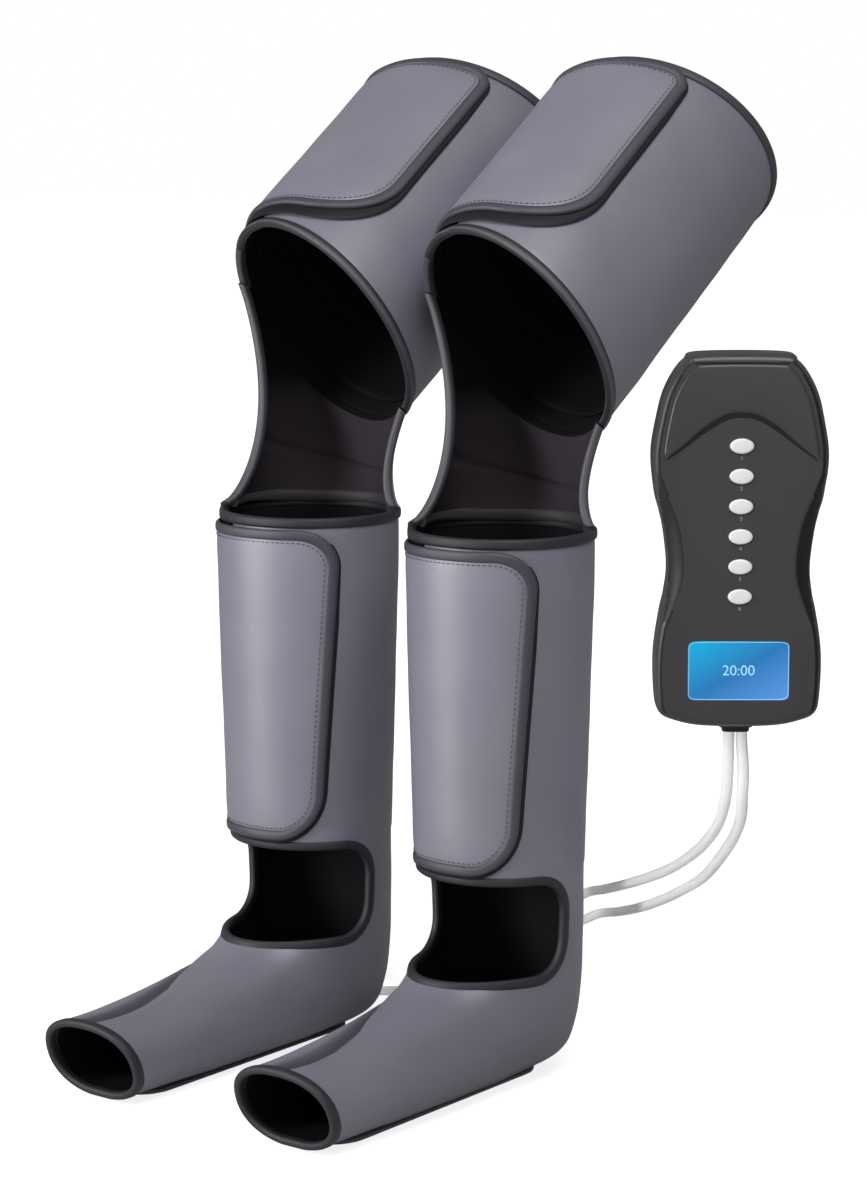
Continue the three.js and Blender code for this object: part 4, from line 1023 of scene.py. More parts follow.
def seam_strip(name, cuff, angles, outer, inner):
    """A strip of lining up the whole root of a flap, between two depths."""
    def place(angle, share, depth):
        low, high = cuff.along(angle, 0) + BINDING_WIDTH + 1, cuff.along(angle, 1) - BINDING_WIDTH - 1
        return cuff.spot(angle, low + (high - low) * share, -(inner if depth else outer))

    return walled(name, angles, steps(0, 1, 1 / 24), place, subdivisions=0)


def root_strip(name, cuff, root):
    """The strip sewn behind the root of a flap, over the joint between flap and shell."""
    middle, half = root + 360.0, math.degrees(ROOT_STRIP_HALF / float(cuff.radius_at(0.0)))
    return seam_strip(name, cuff, steps(middle - half, middle + half * 0.8, 1.5), SHELL_WALL + 0.25, SHELL_WALL + 1.05)


def hinge_cloth(name, cuff, root):
    """The cloth inside the walls that joins a flap's root to its shell."""
    half = math.degrees(HINGE_REACH / float(cuff.radius_at(0.0)))
    return seam_strip(name, cuff, steps(root - half, root + half, half / 6), 1.6, 2.9)


def turning(cuff, root, height, fixed, flap):
    """Which two bodies the hinge cloth joins on a side, and where it turns from one to the other."""
    def home(side):
        half = math.degrees(HINGE_TURN / float(cuff.radius_at(0.0)))
        ends = [cuff.spot(root + way * half, height, 0.0) + np.array([SIDES[side], 0, 0]) for way in (-1, 1)]
        return (f"{side}_{fixed}" if fixed else ROOT_BODY, f"{side}_{flap}", row(ends[0]), row(ends[1]))

    return home


on_both("thigh_root_strip", root_strip("thigh_root_strip", thigh, THIGH_ROOT), "thigh_cuff", [],
        (lining_cloth, lining_cloth))
on_both("calf_root_strip", root_strip("calf_root_strip", calf, CALF_ROOT), None, [],
        (lining_cloth, lining_cloth))
on_both("thigh_hinge_cloth", hinge_cloth("thigh_hinge_cloth", thigh, THIGH_ROOT),
        turning(thigh, THIGH_ROOT, 100.0, "thigh_cuff", "thigh_flap"), [], (lining_cloth, lining_cloth))
on_both("calf_hinge_cloth", hinge_cloth("calf_hinge_cloth", calf, CALF_ROOT),
        turning(calf, CALF_ROOT, 291.0, None, "calf_flap"), [], (lining_cloth, lining_cloth))


def lip(name, cuff, root, edge, low_of, high_of):
    """A flap's own strip of lining past its piping. It closes the ring of the cuff between the flap's root and the
    shell."""
    def place(angle, share, depth):
        low, high = low_of(angle), high_of(angle)
        return cuff.spot(angle, low + (high - low) * share, -3.4 if depth else -0.9)

    return walled(name, steps(root + 0.6, edge - 0.4, 3), steps(0, 1, 0.2), place, subdivisions=0)


thigh_lip = lip("thigh_lip", thigh, THIGH_ROOT, THIGH_EDGE, lambda a: thigh.along(a, 0) + 3,
                lambda a: thigh_flap_low + 5 + 0 * a)
calf_lip = lip("calf_lip_cloth", calf, CALF_ROOT, CALF_EDGE, lambda a: CALF_TOP - BINDING_WIDTH - 6 + 0 * a,
               lambda a: CALF_TOP - 3 + 0 * a)
on_both("thigh_flap_lip", thigh_lip, "thigh_flap", [], (lining_cloth, lining_cloth))
on_both("calf_flap_lip_cloth", calf_lip, "calf_flap", [], (lining_cloth, lining_cloth))
on_both("thigh_flap_lip_tape", end_band("thigh_lip_tape", thigh, THIGH_ROOT + 0.3, THIGH_EDGE - 0.2, False, 2.9),
        "thigh_flap", [], (dark_tape,))
on_both("thigh_flap_lip_roll", rolled_edge("thigh_lip_roll", thigh, THIGH_ROOT + 0.3, THIGH_EDGE + 0.3, 2.0),
        "thigh_flap", [], (grey_tape,))
on_both("calf_flap_lip", end_band("calf_lip", calf, CALF_ROOT + 0.3, CALF_EDGE - 0.3, True, 2.4), "calf_flap",
        [], (dark_tape,))


# How far in a hook strip lies from the flap's free edge and how wide it is, in degrees, and how far in its ends are
HOOK_INSET, HOOK_SPAN, HOOK_MARGIN = 12.0, 24.0, 45.0


def hook_strip(name, cuff, flap_angle, low, top):
    end = flap_angle - HOOK_INSET
    angles = steps(end - HOOK_SPAN, end, 1.5)
    alongs = steps(low + HOOK_MARGIN, top - HOOK_MARGIN, 5)

    def place(angle, along, depth):
        return cuff.spot(angle, along, LAYER_GAP if depth else LAYER_GAP + 1)

    return walled(name, angles, alongs, place, subdivisions=0)


on_both("calf_hook_tape", hook_strip("calf_hook", calf, CALF_FLAP_ANGLES[0], CALF_LOW, CALF_TOP), None,
        ["calf_hook_strip"], (hook_tape, hook_tape))
on_both("thigh_hook_tape", hook_strip("thigh_hook", thigh, THIGH_FLAP_ANGLE, 0, THIGH_TOP), "thigh_cuff",
        ["thigh_hook_strip"], (hook_tape, hook_tape))


# Knee panel

PANEL_THICKNESS = 6.0
PANEL_LOW = CALF_TOP + GAP


def panel_spot(u, v, depth):
    """A point of the panel: u from its outer to its inner edge, v from the calf up to the thigh."""
    calf_angle = PANEL_CALF_ANGLE + (CALF_ROOT + 360 - PANEL_CALF_ANGLE) * u
    thigh_angle = PANEL_THIGH_ANGLE + (PANEL_END_ANGLE - PANEL_THIGH_ANGLE) * u
    top = thigh.along(thigh_angle, 0) - GAP
    low_spot, top_spot = calf.spot(calf_angle, PANEL_LOW, 0), thigh.spot(thigh_angle, top, 0)
    spot = low_spot + (top_spot - low_spot) * v[..., None]
    low_middle, top_middle = calf.centre(PANEL_LOW + 0 * v), thigh.centre(top)
    middle = low_middle + (top_middle - low_middle) * v[..., None]
    waist = np.sin(np.pi * np.clip(v, 0, 1) ** 0.72) ** 0.85
    spot[..., 0] *= 1 - 0.16 * waist
    spot[..., 1] += 24 * waist * u
    return spot + unit(middle - spot) * (np.asarray(depth, float) * PANEL_THICKNESS)[..., None]


def knee_panel():
    def place(u, v, depth):
        fold = 0.5 * ripple(panel_spot(u, v, 0 * u), 45, 3) * np.clip(np.minimum(v, 1 - v) * 6, 0, 1)
        seam = 0.5 * np.exp(-((v - 0.33 - 0.03 * np.sin(u * 5)) / 0.02) ** 2)
        base = (1 - seam + 0.02 * fold) if depth else 0.0 * u - 0.03 + 0.06 * np.abs(2 * v - 1) ** 6 + 0.04 * fold
        return panel_spot(u, v, base)

    return walled("knee_panel", steps(0.01, 0.99, 1 / 46), steps(-0.03, 1, 1 / 40), place)


def panel_edge(name, u):
    v = steps(0.0, 1.005, 0.02)
    centres = panel_spot(u + 0 * v, v, 0.5 + 0 * v)
    normals = unit(panel_spot(u + 0 * v, v, 0 * v) - centres)
    return band(name, centres, normals, 3.6, PANEL_THICKNESS / 2 + 0.7, power=2.8)


def bending(side):
    """The knee panel's two bodies on a side, and where it bends from one to the other."""
    x = SIDES[side]
    return ROOT_BODY, f"{side}_thigh_cuff", row((x, 75, PANEL_LOW + 0.5)), row((x, 75, 495))


def panel_hem(name, v, half_width, half_thickness):
    """A soft rolled fold that runs across the inside of the panel just above the calf's top."""
    u = steps(0.0, 1.0, 0.02)
    centres = panel_spot(u, v + 0.012 * np.sin(u * 9), 0.8 + 0 * u)
    normals = unit(panel_spot(u, v + 0 * u, 0 * u) - centres)
    return band(name, centres, normals, half_width, half_thickness, power=2.3)


on_both("knee_panel_hem", panel_hem("knee_hem", 0.012, 5.2, 3.2), bending, [], (hem_cloth,))
on_both("knee_panel_cloth", knee_panel(), bending, ["knee_panel"], (outer_cloth, knee_lining))
on_both("knee_panel_edge_inner", panel_edge("knee_edge_1", 1.0), bending, [], (grey_tape,))
on_both("knee_panel_edge_outer", panel_edge("knee_edge_0", 0.0), bending, [], (grey_tape,))


# Foot sleeve

FOOT_TOP = 167.7
TOE_SEAM = 258.7
TOE_HEIGHT = 64.0
HEEL_BACK = 65.0
SLEEVE_FLOOR = 3.3
FOOT_SHARES = np.array([
    [0, 1, 0.006, 1, 1, 0],
    [0, 0.66, 0.002, 0.71, 0.98, 0],
    [0.03, 0.4, 0, 0.43, 0.95, 0.1],
    [0.1, 0.24, 0.014, 0.2, 0.91, 0.2],
    [0.22, 0.15, 0.07, 0.05, 0.86, 0.25],
    [0.42, 0.08, 0.26, 0.01, 0.79, 0.3],
    [0.62, 0.03, 0.5, 0.006, 0.77, 0.3],
    [0.82, 0, 0.76, 0.012, 0.74, 0.3],
    [1, 0, 1, 0.018, 0.71, 0.3],
])
# Each section's front y and z, back y and z, half width and squareness
FOOT_SECTIONS = np.stack([
    -(CALF_LOW_RADIUS + (TOE_SEAM - CALF_LOW_RADIUS) * FOOT_SHARES[:, 0]),
    TOE_HEIGHT + (FOOT_TOP - TOE_HEIGHT) * FOOT_SHARES[:, 1],
    HEEL_BACK + (20 - TOE_SEAM - HEEL_BACK) * FOOT_SHARES[:, 2],
    FOOT_SHARES[:, 3] * FOOT_TOP,
    CALF_LOW_RADIUS * FOOT_SHARES[:, 4],
    FOOT_SHARES[:, 5],
], axis=1)


def between(p0, p1, p2, p3, t):
    """A point of the smooth curve through p0 to p3, at a share t of the way from p1 to p2."""
    return 0.5 * (2 * p1 + (p2 - p0) * t + (2 * p0 - 5 * p1 + 4 * p2 - p3) * t * t
                  + (3 * p1 - p0 - 3 * p2 + p3) * t ** 3)


def section_at(share):
    """The section at a share of the way from the ankle seam to the toe, smoothed through the named ones."""
    last = len(FOOT_SECTIONS) - 1
    place = np.clip(np.asarray(share, float), 0, 1) * last
    i = np.minimum(np.floor(place).astype(int), last - 1)
    return between(*(FOOT_SECTIONS[np.clip(i + k, 0, last)] for k in (-1, 0, 1, 2)), (place - i)[..., None])


def foot_spot(angle, share, inwards):
    angle, share, inwards = np.broadcast_arrays(np.asarray(angle, float), share, inwards)
    values = section_at(share)
    front, back = values[..., 0:2], values[..., 2:4]
    half, square = values[..., 4] - inwards, np.clip(values[..., 5], 0, 1)
    power = 2 / (2 + square)
    along, across = np.cos(np.radians(angle)), sine(angle)
    length = np.linalg.norm(front - back, axis=-1) / 2 - inwards
    towards = unit(front - back)
    reach = length * np.sign(along) * np.abs(along) ** power
    side_view = (front + back) / 2 + towards * reach[..., None]
    x = half * np.sign(across) * np.abs(across) ** power
    level = SLEEVE_FLOOR + np.maximum(inwards, 0)
    side_view[..., 1] = np.maximum(side_view[..., 1], level)
    return np.stack([x, side_view[..., 0], side_view[..., 1]], axis=-1)


ANKLE_END, ANKLE_CORNER, ANKLE_LOW = 5.0, 24.0, 90.0
ANKLE_SLOPE = math.radians(1)
ANKLE_FRONT = TOE_SEAM / 2


def ankle_outline(grow, open_top):
    """The ankle opening seen from the side, as points forward and up."""
    corner = ANKLE_CORNER + grow
    x, low = ANKLE_END + ANKLE_CORNER, ANKLE_LOW + ANKLE_CORNER
    top = FOOT_TOP - BINDING_WIDTH + grow + (12 if open_top else 0)
    start = np.array([x + corner * math.sin(ANKLE_SLOPE), low - corner * math.cos(ANKLE_SLOPE)])
    front = np.array([ANKLE_FRONT, start[1] + (ANKLE_FRONT - start[0]) * math.tan(ANKLE_SLOPE)])
    turn = np.linspace(3 * math.pi / 2 + ANKLE_SLOPE, math.pi, 18)
    points = [front, *np.stack([x + corner * np.cos(turn), low + corner * np.sin(turn)], 1)]
    if open_top:
        points.append(np.array([x - corner, top]))
    else:
        turn = np.linspace(math.pi, math.pi / 2, 14)
        points += list(np.stack([x + corner * np.cos(turn), top - corner + corner * np.sin(turn)], 1))
    points.append(np.array([ANKLE_FRONT, top]))
    return np.array(points)


def polygon_distance(points, outline):
    """Signed distance of 2-D points to a closed outline, below 0 inside."""
    shape = points.shape[:-1]
    points = points.reshape(-1, 2)
    a, b = outline, np.roll(outline, -1, axis=0)
    d = b - a
    rel = points[:, None] - a[None]
    t = np.clip((rel * d).sum(-1) / (d * d).sum(-1), 0, 1)
    near = np.linalg.norm(rel - t[..., None] * d, axis=-1).min(axis=1)
    crosses = ((a[:, 1] > points[:, None, 1]) != (b[:, 1] > points[:, None, 1])) & (
        points[:, None, 0] < d[:, 0] * (points[:, None, 1] - a[:, 1]) / np.where(d[:, 1] == 0, 1e-9, d[:, 1]) + a[:, 0])
    inside = crosses.sum(axis=1) % 2 == 1
    return np.where(inside, -near, near).reshape(shape)


def ankle_ring(outline, count):
    """The outline's loop on the sleeve's face, as evenly spaced angles and shares."""
    angles, shares = np.linspace(-180, 180, 361), np.linspace(0, 0.8, 321)
    spots = foot_spot(*np.meshgrid(angles, shares), 0)
    value = polygon_distance(np.stack([-spots[..., 1], spots[..., 2]], -1), outline)
    inside = value < 0
    mixed = np.argwhere(~((inside[:-1, :-1] == inside[1:, :-1]) & (inside[:-1, :-1] == inside[:-1, 1:])
                          & (inside[:-1, :-1] == inside[1:, 1:])))
    links = {}
    for j, i in mixed:
        corners = [(j, i), (j, i + 1), (j + 1, i + 1), (j + 1, i)]
        found = []
        for here, there in zip(corners, corners[1:] + corners[:1]):
            if inside[here] != inside[there]:
                a, b = (np.array([angles[k], shares[n]]) for n, k in (here, there))
                share = value[here] / (value[here] - value[there])
                found.append(tuple(np.round(a + (b - a) * share, 6)))
        if len(found) == 2:
            for a, b in (found, found[::-1]):
                links.setdefault(a, []).append(b)
    start = next(iter(links))
    loop, before = [start], None
    while len(loop) <= len(links):
        nexts = [p for p in links[loop[-1]] if p != before]
        if not nexts or (len(loop) > 2 and nexts[0] == start):
            break
        before = loop[-1]
        loop.append(nexts[0])
    closed = np.array([*loop, loop[0]])
    along = arc_lengths(foot_spot(closed[:, 0], closed[:, 1], 0))
    at = np.linspace(0, along[-1], count, endpoint=False)
    return np.interp(at, along, closed[:, 0]), np.interp(at, along, closed[:, 1])


def closed_smooth(values, passes):
    for _ in range(passes):
        values = (np.roll(values, 1, axis=0) + 2 * values + np.roll(values, -1, axis=0)) / 4
    return values


def prism(name, outline, half):
    """A solid of a side-view outline, from -half to half across."""
    return stacked(name, [np.array([(x, -forward, up) for forward, up in outline]) for x in (-half, half)])


def cut_out(mesh, cutter):
    """The mesh less the cutter."""
    tool = in_scene("cutter", cutter)
    made = evaluated(mesh, ("BOOLEAN", {"object": tool, "operation": "DIFFERENCE", "solver": "EXACT"}))
    bpy.data.objects.remove(tool)
    return made


FOOT_COLUMNS = 120
FOOT_CHAMBER_SIDE = 126.0
FOOT_CHAMBER_LOW, FOOT_CHAMBER_HIGH = 5 / 8, 7 / 8
foot_angles = np.arange(FOOT_COLUMNS) * 360 / FOOT_COLUMNS
foot_shares = np.linspace(0, 1, 81)

# The fold over the instep, as angles and shares of the sleeve
INSTEP_FOLD = np.array([[-48, 0.48], [-26, 0.58], [-8, 0.7], [0, 0.82], [1, 0.92], [-1, 1]])


def beside_fold(angle, share):
    """How far a place is from the middle of the fold, in fold widths, and how strong the fold is there."""
    line = np.interp(share, INSTEP_FOLD[:, 1], INSTEP_FOLD[:, 0])
    return ((angle + 180) % 360 - 180 - line) / 5.0, np.clip((share - 0.43) * 9, 0, 1)


def foot_crease(angle, share, points):
    """How far the sleeve's face is pressed in, by soft unevenness and by the long fold over the instep."""
    away, fade = beside_fold(angle, share)
    fold = fade * (6.5 * np.exp(-away * away) - 1.3 * np.exp(-((away - 2.3) / 1.1) ** 2))
    return 0.4 * np.minimum(ripple(points, 48, 21), 0.5) + fold


def foot_shell():
    def place(angle, share, depth):
        points = foot_spot(angle, share, 0 * angle)
        ends = np.clip(np.minimum(share * 12, 0.25 + (1 - share) * 7), 0, 1)
        crease = foot_crease(angle, share, points) * ends
        return foot_spot(angle, share, SHELL_WALL + np.maximum(crease, 0) if depth else crease)

    wall = walled("foot_shell", foot_angles, foot_shares, place, wrapped=True, subdivisions=0)
    # A mask of painted shade along the instep fold, which darkens the sleeve's cloth there.
    grid_angle, grid_share = np.meshgrid(foot_angles, foot_shares)
    away, fade = beside_fold(grid_angle, grid_share)
    shaded = (fade * np.exp(-((away + 0.35) / 1.5) ** 2)).ravel()
    fold_shade_marks = wall.attributes.new("fold", "FLOAT", "POINT")
    for i, value in enumerate(np.concatenate([shaded, 0 * shaded])):
        fold_shade_marks.data[i].value = float(value)
    cut = cut_out(wall, prism("ankle_cutter", ankle_outline(TUCK, False), 90))
    smooth(cut, 50)
    return cut


def square_to(normals, ways):
    """The normals turned square to unit ways."""
    return unit(normals - ways * (normals * ways).sum(1, keepdims=True))


def ankle_tape():
    angle, share = ankle_ring(ankle_outline(BINDING_WIDTH / 2, False), 260)
    centres = closed_smooth(foot_spot(angle, share, SHELL_WALL / 2 + 0 * angle), 6)
    outer = closed_smooth(foot_spot(angle, share, 0 * angle), 6)
    normals = closed_smooth(unit(outer - centres), 4)
    normals = square_to(normals, unit(np.roll(centres, -1, axis=0) - np.roll(centres, 1, axis=0)))
    return band("ankle_tape", centres, normals, BINDING_WIDTH / 2, BAND_HALF_THICKNESS, closed=True)


def toe_tape():
    angle = np.linspace(0, 360, 160, endpoint=False)
    forward = np.array([0, GAP + BINDING_WIDTH / 2, 0])
    centres, outer = (foot_spot(angle, 1 + 0 * angle, depth + 0 * angle) - forward for depth in (SHELL_WALL / 2, 0))
    across = repeated((0, -1, 0), centres)
    normals = square_to(unit(outer - centres), across)
    return band("toe_tape", centres, normals, BINDING_WIDTH / 2 + 0.2, BAND_HALF_THICKNESS, across, closed=True,
                power=3.0)


def foot_chamber():
    angles = np.linspace(-FOOT_CHAMBER_SIDE, FOOT_CHAMBER_SIDE, 49)
    shares = np.linspace(FOOT_CHAMBER_LOW, FOOT_CHAMBER_HIGH, 31)

    def place(angle, share, depth):
        along = (share - FOOT_CHAMBER_LOW) / (FOOT_CHAMBER_HIGH - FOOT_CHAMBER_LOW)
        swell = cells(along, 2) * pillow((angle + FOOT_CHAMBER_SIDE) / (2 * FOOT_CHAMBER_SIDE), 30)
        under = 4.7 + np.maximum(foot_crease(angle, share, foot_spot(angle, share, 0 * angle)), 0)
        return foot_spot(angle, share, under + 5 * (0.3 + 0.68 * swell) if depth else under)

    return walled("foot_chamber", angles, shares, place)


on_both("foot_shell_cloth", foot_shell(), None, ["foot_shell"], (sleeve_cloth, lining_cloth))
on_both("ankle_tape", ankle_tape(), None, ["ankle_binding"], (dark_tape,))
on_both("toe_tape", toe_tape(), None, ["toe_binding"], (dark_tape,))
on_both("foot_air_cells", foot_chamber(), None, ["foot_air_chamber"], (air_film, air_film))


SOLE_PAD_WIDTH, SOLE_PAD_HEEL_INSET = 52.0, 38.0


def sole_pad():
    """A flat oval pad with grooves across it and a rounded rim."""
    half, toe, heel = SOLE_PAD_WIDTH / 2, SOLE_TOE_END, HEEL_BACK - SOLE_PAD_HEEL_INSET
    ys = np.concatenate([heel - half + half * np.cos(np.linspace(0, math.pi / 2, 9)),
                         np.linspace(heel - half, toe + half, 60)[1:-1],
                         toe + half - half * np.sin(np.linspace(0, math.pi / 2, 9))])
    ys[0], ys[-1] = heel - 0.2, toe + 0.2

    def place(u, y, depth):
        past = np.maximum(np.maximum(y - (heel - half), (toe + half) - y), 0)
        width = np.sqrt(np.maximum(half * half - past * past, 9.0))
        groove = 0.35 * np.exp(-((np.mod(y, 12) - 6) / 1.2) ** 2)
        level = 0.05 + 0 * y if depth else 2.95 - groove
        return np.stack([u * width, y, level], axis=-1)

    return walled("sole_pad", np.linspace(-1, 1, 15), ys, place, subdivisions=1)


on_both("sole_pad_foam", sole_pad(), None, ["sole_pad"], (sole_foam, sole_foam))


# Air inlets

INLET_HEIGHT = 84.0


def air_inlet():
    """An elbow: a square flange on the heel, an arm that bends down and a collar round its tip."""
    turn = np.linspace(0, math.pi / 2, 12)
    bend = np.stack([0 * turn, 71.8 + 4.5 * np.sin(turn), INLET_HEIGHT - 4.5 + 4.5 * np.cos(turn)], axis=1)
    path = np.concatenate([[[0, 65.9, INLET_HEIGHT], [0, 69.5, INLET_HEIGHT]], bend,
                           [[0, NOZZLE_BACK, 74], [0, NOZZLE_BACK, NOZZLE_TIP + 0.2]]])
    side = repeated((1, 0, 0), path)
    normals = unit(np.cross(unit(np.gradient(path, axis=0)), side))
    elbow = band("inlet_elbow", path, normals, 4.3, 4.3, side, power=2, count=20)
    tip = np.array([[0, NOZZLE_BACK, z] for z in (65.4, 65.0, 64.2, 61.6, 60.8, 60.4)])
    girth = np.array([3.6, 4.7, 5.1, 5.1, 4.7, 3.9])
    collar = band("inlet_collar", tip, repeated((0, 1, 0), tip), girth, girth, repeated((1, 0, 0), tip), power=2,
                  count=24)
    plate = np.array([[0, y, INLET_HEIGHT] for y in (65.4, 65.7, 67.7, 68.2, 68.3)])
    width = np.array([7.1, 7.5, 7.5, 7.1, 6.4])
    flange = band("inlet_flange", plate, repeated((0, 0, 1), plate), width, width, repeated((1, 0, 0), plate),
                  power=5, count=32)
    return joined("inlet", [elbow, collar, flange])


on_both("inlet_elbow", air_inlet(), None, ["air_inlet"], (black_plastic,))


# Handset, built facing -Y round its own middle

HALF_WIDTH = 56.4
FRONT_DEPTH, REAR_DEPTH = 18.0, 16.0
SIDE_DEPTH, FACE_INSET, WAIST_FACET = 6.0, 6.0, 7.0
WALL = 2.4
SEAM_GAP = 0.12
WAIST_SHARE, WAIST_SPAN = -0.02, 0.2
HOOD_RISE, HOOD_INSET = 1.8, 7.0
OUTLINE_SHARES = np.array([
    [0.48, 0.5], [0.64, 0.48], [0.75, 0.45], [0.86, 0.4], [0.93, 0.34], [1, 0.235], [0.96, 0.13], [0.9, 0.075],
    [0.85, 0.02], [0.81, -0.07], [0.84, -0.14], [0.89, -0.195], [0.95, -0.3], [0.94, -0.41], [0.89, -0.46],
    [0.7, -0.483], [0.35, -0.497],
])
HOOD_SHARES = np.array([[0.85, 0.222], [0.66, 0.257], [0.47, 0.296], [0.28, 0.327], [0.11, 0.343]])
BUTTON_HALF = np.array([7.6, 4.8])
TOP_BUTTON_Z = 0.258 * HANDSET_HEIGHT
BUTTON_PITCH = 0.0801 * HANDSET_HEIGHT
BUTTON_COUNT = 6
SCREEN_Z = -0.3423 * HANDSET_HEIGHT
SCREEN_HALF = np.array([32.4, 19.1])


def from_handset(points):
    points = np.asarray(points, float)
    return HANDSET_PLACE + points[..., :1] * SIDEWAYS + points[..., 1:2] * BEHIND + points[..., 2:] * UP


def spline(points, parts, closed):
    """A smooth line through 2-D points."""
    points = np.asarray(points, float)
    padded = np.vstack([points[-1:], points, points[:2]]) if closed else np.vstack([points[:1], points, points[-1:]])
    t = np.linspace(0, 1, parts, endpoint=False)[:, None]
    line = np.concatenate([between(*four, t) for four in zip(padded, padded[1:], padded[2:], padded[3:])])
    return line if closed else np.vstack([line, points[-1:]])


def mirrored(points):
    """Points down the right side, and then the same up the left side."""
    return np.vstack([points, (points * np.array([-1, 1]))[::-1]])


handset_line = spline(mirrored(OUTLINE_SHARES * np.array([HALF_WIDTH, HANDSET_HEIGHT])), 6, True)
handset_way = unit(np.roll(handset_line, -1, axis=0) - np.roll(handset_line, 1, axis=0))
handset_in = np.stack([handset_way[:, 1], -handset_way[:, 0]], axis=1)


def facet_at(z):
    return WAIST_FACET * np.maximum(0, 1 - ((z / HANDSET_HEIGHT - WAIST_SHARE) / WAIST_SPAN) ** 2)


def at_depth(flat, depth):
    """A flat line's points at a depth; depths above 0 are towards the front."""
    return np.stack([flat[:, 0], np.full(len(flat), -float(depth)), flat[:, 1]], axis=1)


def handset_ring(depth, inset):
    """The outline drawn in by inset at a depth."""
    return at_depth(handset_line + handset_in * np.reshape(inset, (-1, 1)), depth)


def half_rings(facing, depth, wall, faceted):
    """Rings of one half of the body from its seam to its flat face."""
    seam = -1.0 if wall else SEAM_GAP
    rings = [handset_ring(facing * seam, wall + 0.35 * (not wall)), handset_ring(facing * 0.55, wall)]
    deep = depth - wall
    for turn in np.linspace(0, math.pi / 2, 11):
        level = SIDE_DEPTH + (deep - SIDE_DEPTH) * math.sin(turn) ** 0.85
        inset = wall + FACE_INSET * (1 - math.cos(turn) ** 0.85)
        if faceted:
            inset = inset + facet_at(handset_line[:, 1]) * ((level - SIDE_DEPTH) / (deep - SIDE_DEPTH)) ** 1.3
        rings.append(handset_ring(facing * level, inset))
    return rings


def cover(name, facing, depth, faceted):
    """One half of the body: from the middle of its hollow out to its seam, and on over its outside."""
    hollow = half_rings(facing, depth, WALL, faceted)
    hollow[0] = handset_ring(facing * SEAM_GAP, WALL)
    return stacked(name, hollow[::-1] + half_rings(facing, depth, 0, faceted))


def oval(z, half, count=48, power=2.0):
    c, s = superellipse(count, power)
    return np.stack([c * half[0], z + s * half[1]], axis=1)


def on_handset(name, mesh, slot, replaced, *materials, body=ROOT_BODY):
    """A piece of the handset, turned and moved from its own middle to its place."""
    piece(name, placed(mesh, from_handset), body, replaced, materials)


button_heights = [TOP_BUTTON_Z - i * BUTTON_PITCH for i in range(BUTTON_COUNT)]
CUTTER_DEPTHS = (-0.5, 24)
holes = [stacked("hole", [at_depth(oval(z, BUTTON_HALF + 0.75), d) for d in CUTTER_DEPTHS]) for z in button_heights]
window = stacked("window", [at_depth(oval(SCREEN_Z, SCREEN_HALF + 0.3, 64, 12), d) for d in CUTTER_DEPTHS])
front = cut_out(cover("front", 1, FRONT_DEPTH, True), joined("holes", holes + [window]))
smooth(front, 35)
# Painted shade: the side facets at the waist get the darker plastic, as they stand in shade.
for face in front.polygons:
    x, y, z = face.center
    lowest = SIDE_DEPTH + 1.5 + 9 * (1 - facet_at(z) / WAIST_FACET)
    if lowest < -y < FRONT_DEPTH - 0.15 and abs(face.normal.x) > 0.3:
        face.material_index = 1
on_handset("front_cover_shell", front, "black_plastic", ["front_cover"], black_plastic, facet_shade_plastic)
rear = cover("rear", -1, REAR_DEPTH, False)
smooth(rear, 35)
on_handset("rear_cover_shell", rear, "black_plastic", ["rear_cover"], black_plastic)


# The raised hood's rounded edge: how far in, and how deep
HOOD_EDGE = ((0, -1), (0, 0.3), (0.25, 0.9), (0.8, 1.45), (1.6, 1.72), (2.6, HOOD_RISE))


def hood_arch():
    """The hood's lower edge, from the right side to the left."""
    return spline(mirrored(HOOD_SHARES * np.array([HALF_WIDTH, HANDSET_HEIGHT])), 6, False)


def hood():
    """The raised field over the upper face, its lower edge an arch."""
    arch = hood_arch()
    rim = handset_line + handset_in * HOOD_INSET
    rim = rim[polygon_distance(rim, handset_line) < 0.15 - HOOD_INSET]
    high = rim[:, 1] > arch[0, 1] + 1.5
    first = int(np.argmax(high & ~np.roll(high, 1)))
    above = np.roll(rim, -first, axis=0)[np.roll(high, -first)]
    line = np.vstack([arch, above if above[0, 0] < 0 else above[::-1]])
    keep = [0] + [i for i in range(1, len(line)) if np.linalg.norm(line[i] - line[i - 1]) > 0.3]
    line = line[keep]
    way = unit(np.roll(line, -1, axis=0) - np.roll(line, 1, axis=0))
    inward = np.stack([way[:, 1], -way[:, 0]], axis=1)
    tips = np.stack([line[0], arch[-1]])
    room = 0.3 * np.linalg.norm(line[:, None] - tips[None], axis=2).min(axis=1)
    mesh = stacked("hood", [at_depth(line + inward * np.minimum(inset, room)[:, None], FRONT_DEPTH + rise)
                            for inset, rise in HOOD_EDGE])
    smooth(mesh, 40)
    return mesh


def hood_groove():
    """A strip of painted shadow on the face under the hood's arched edge, where the raised hood's step casts shade,
    widest in the middle.
    """
    arch = hood_arch()
    arch = arch[np.concatenate([[True], np.linalg.norm(np.diff(arch, axis=0), axis=1) > 0.2])]
    way = unit(np.gradient(arch, axis=0))
    below = np.stack([-way[:, 1], way[:, 0]], axis=1)
    below *= np.sign(-below[:, 1:])
    width = 1.75 * np.clip(1.15 - (arch[:, 0] / arch[0, 0]) ** 2, 0.22, 1)
    centres = at_depth(arch + below * (width - 0.3)[:, None], FRONT_DEPTH - 0.08)
    return band("hood_groove", centres, repeated((0, -1, 0), centres), width, 0.16, count=10)


on_handset("front_hood", hood(), "black_plastic", [], black_plastic)
# Painted shadow: a dark strip under the hood's step.
on_handset("front_hood_step_shadow", hood_groove(), "black_plastic", [], dark_plastic)

# A button's rings: how large, against its visible oval, and how deep. Its flange is larger than 1.
BUTTON_RINGS = ((1.18, 14.3), (1.18, 15.2), (1, 15.2), (1, 18.5), (0.985, 18.9), (0.95, 19.2), (0.88, 19.38),
                (0.72, 19.5), (0.45, 19.57), (0.12, 19.6))


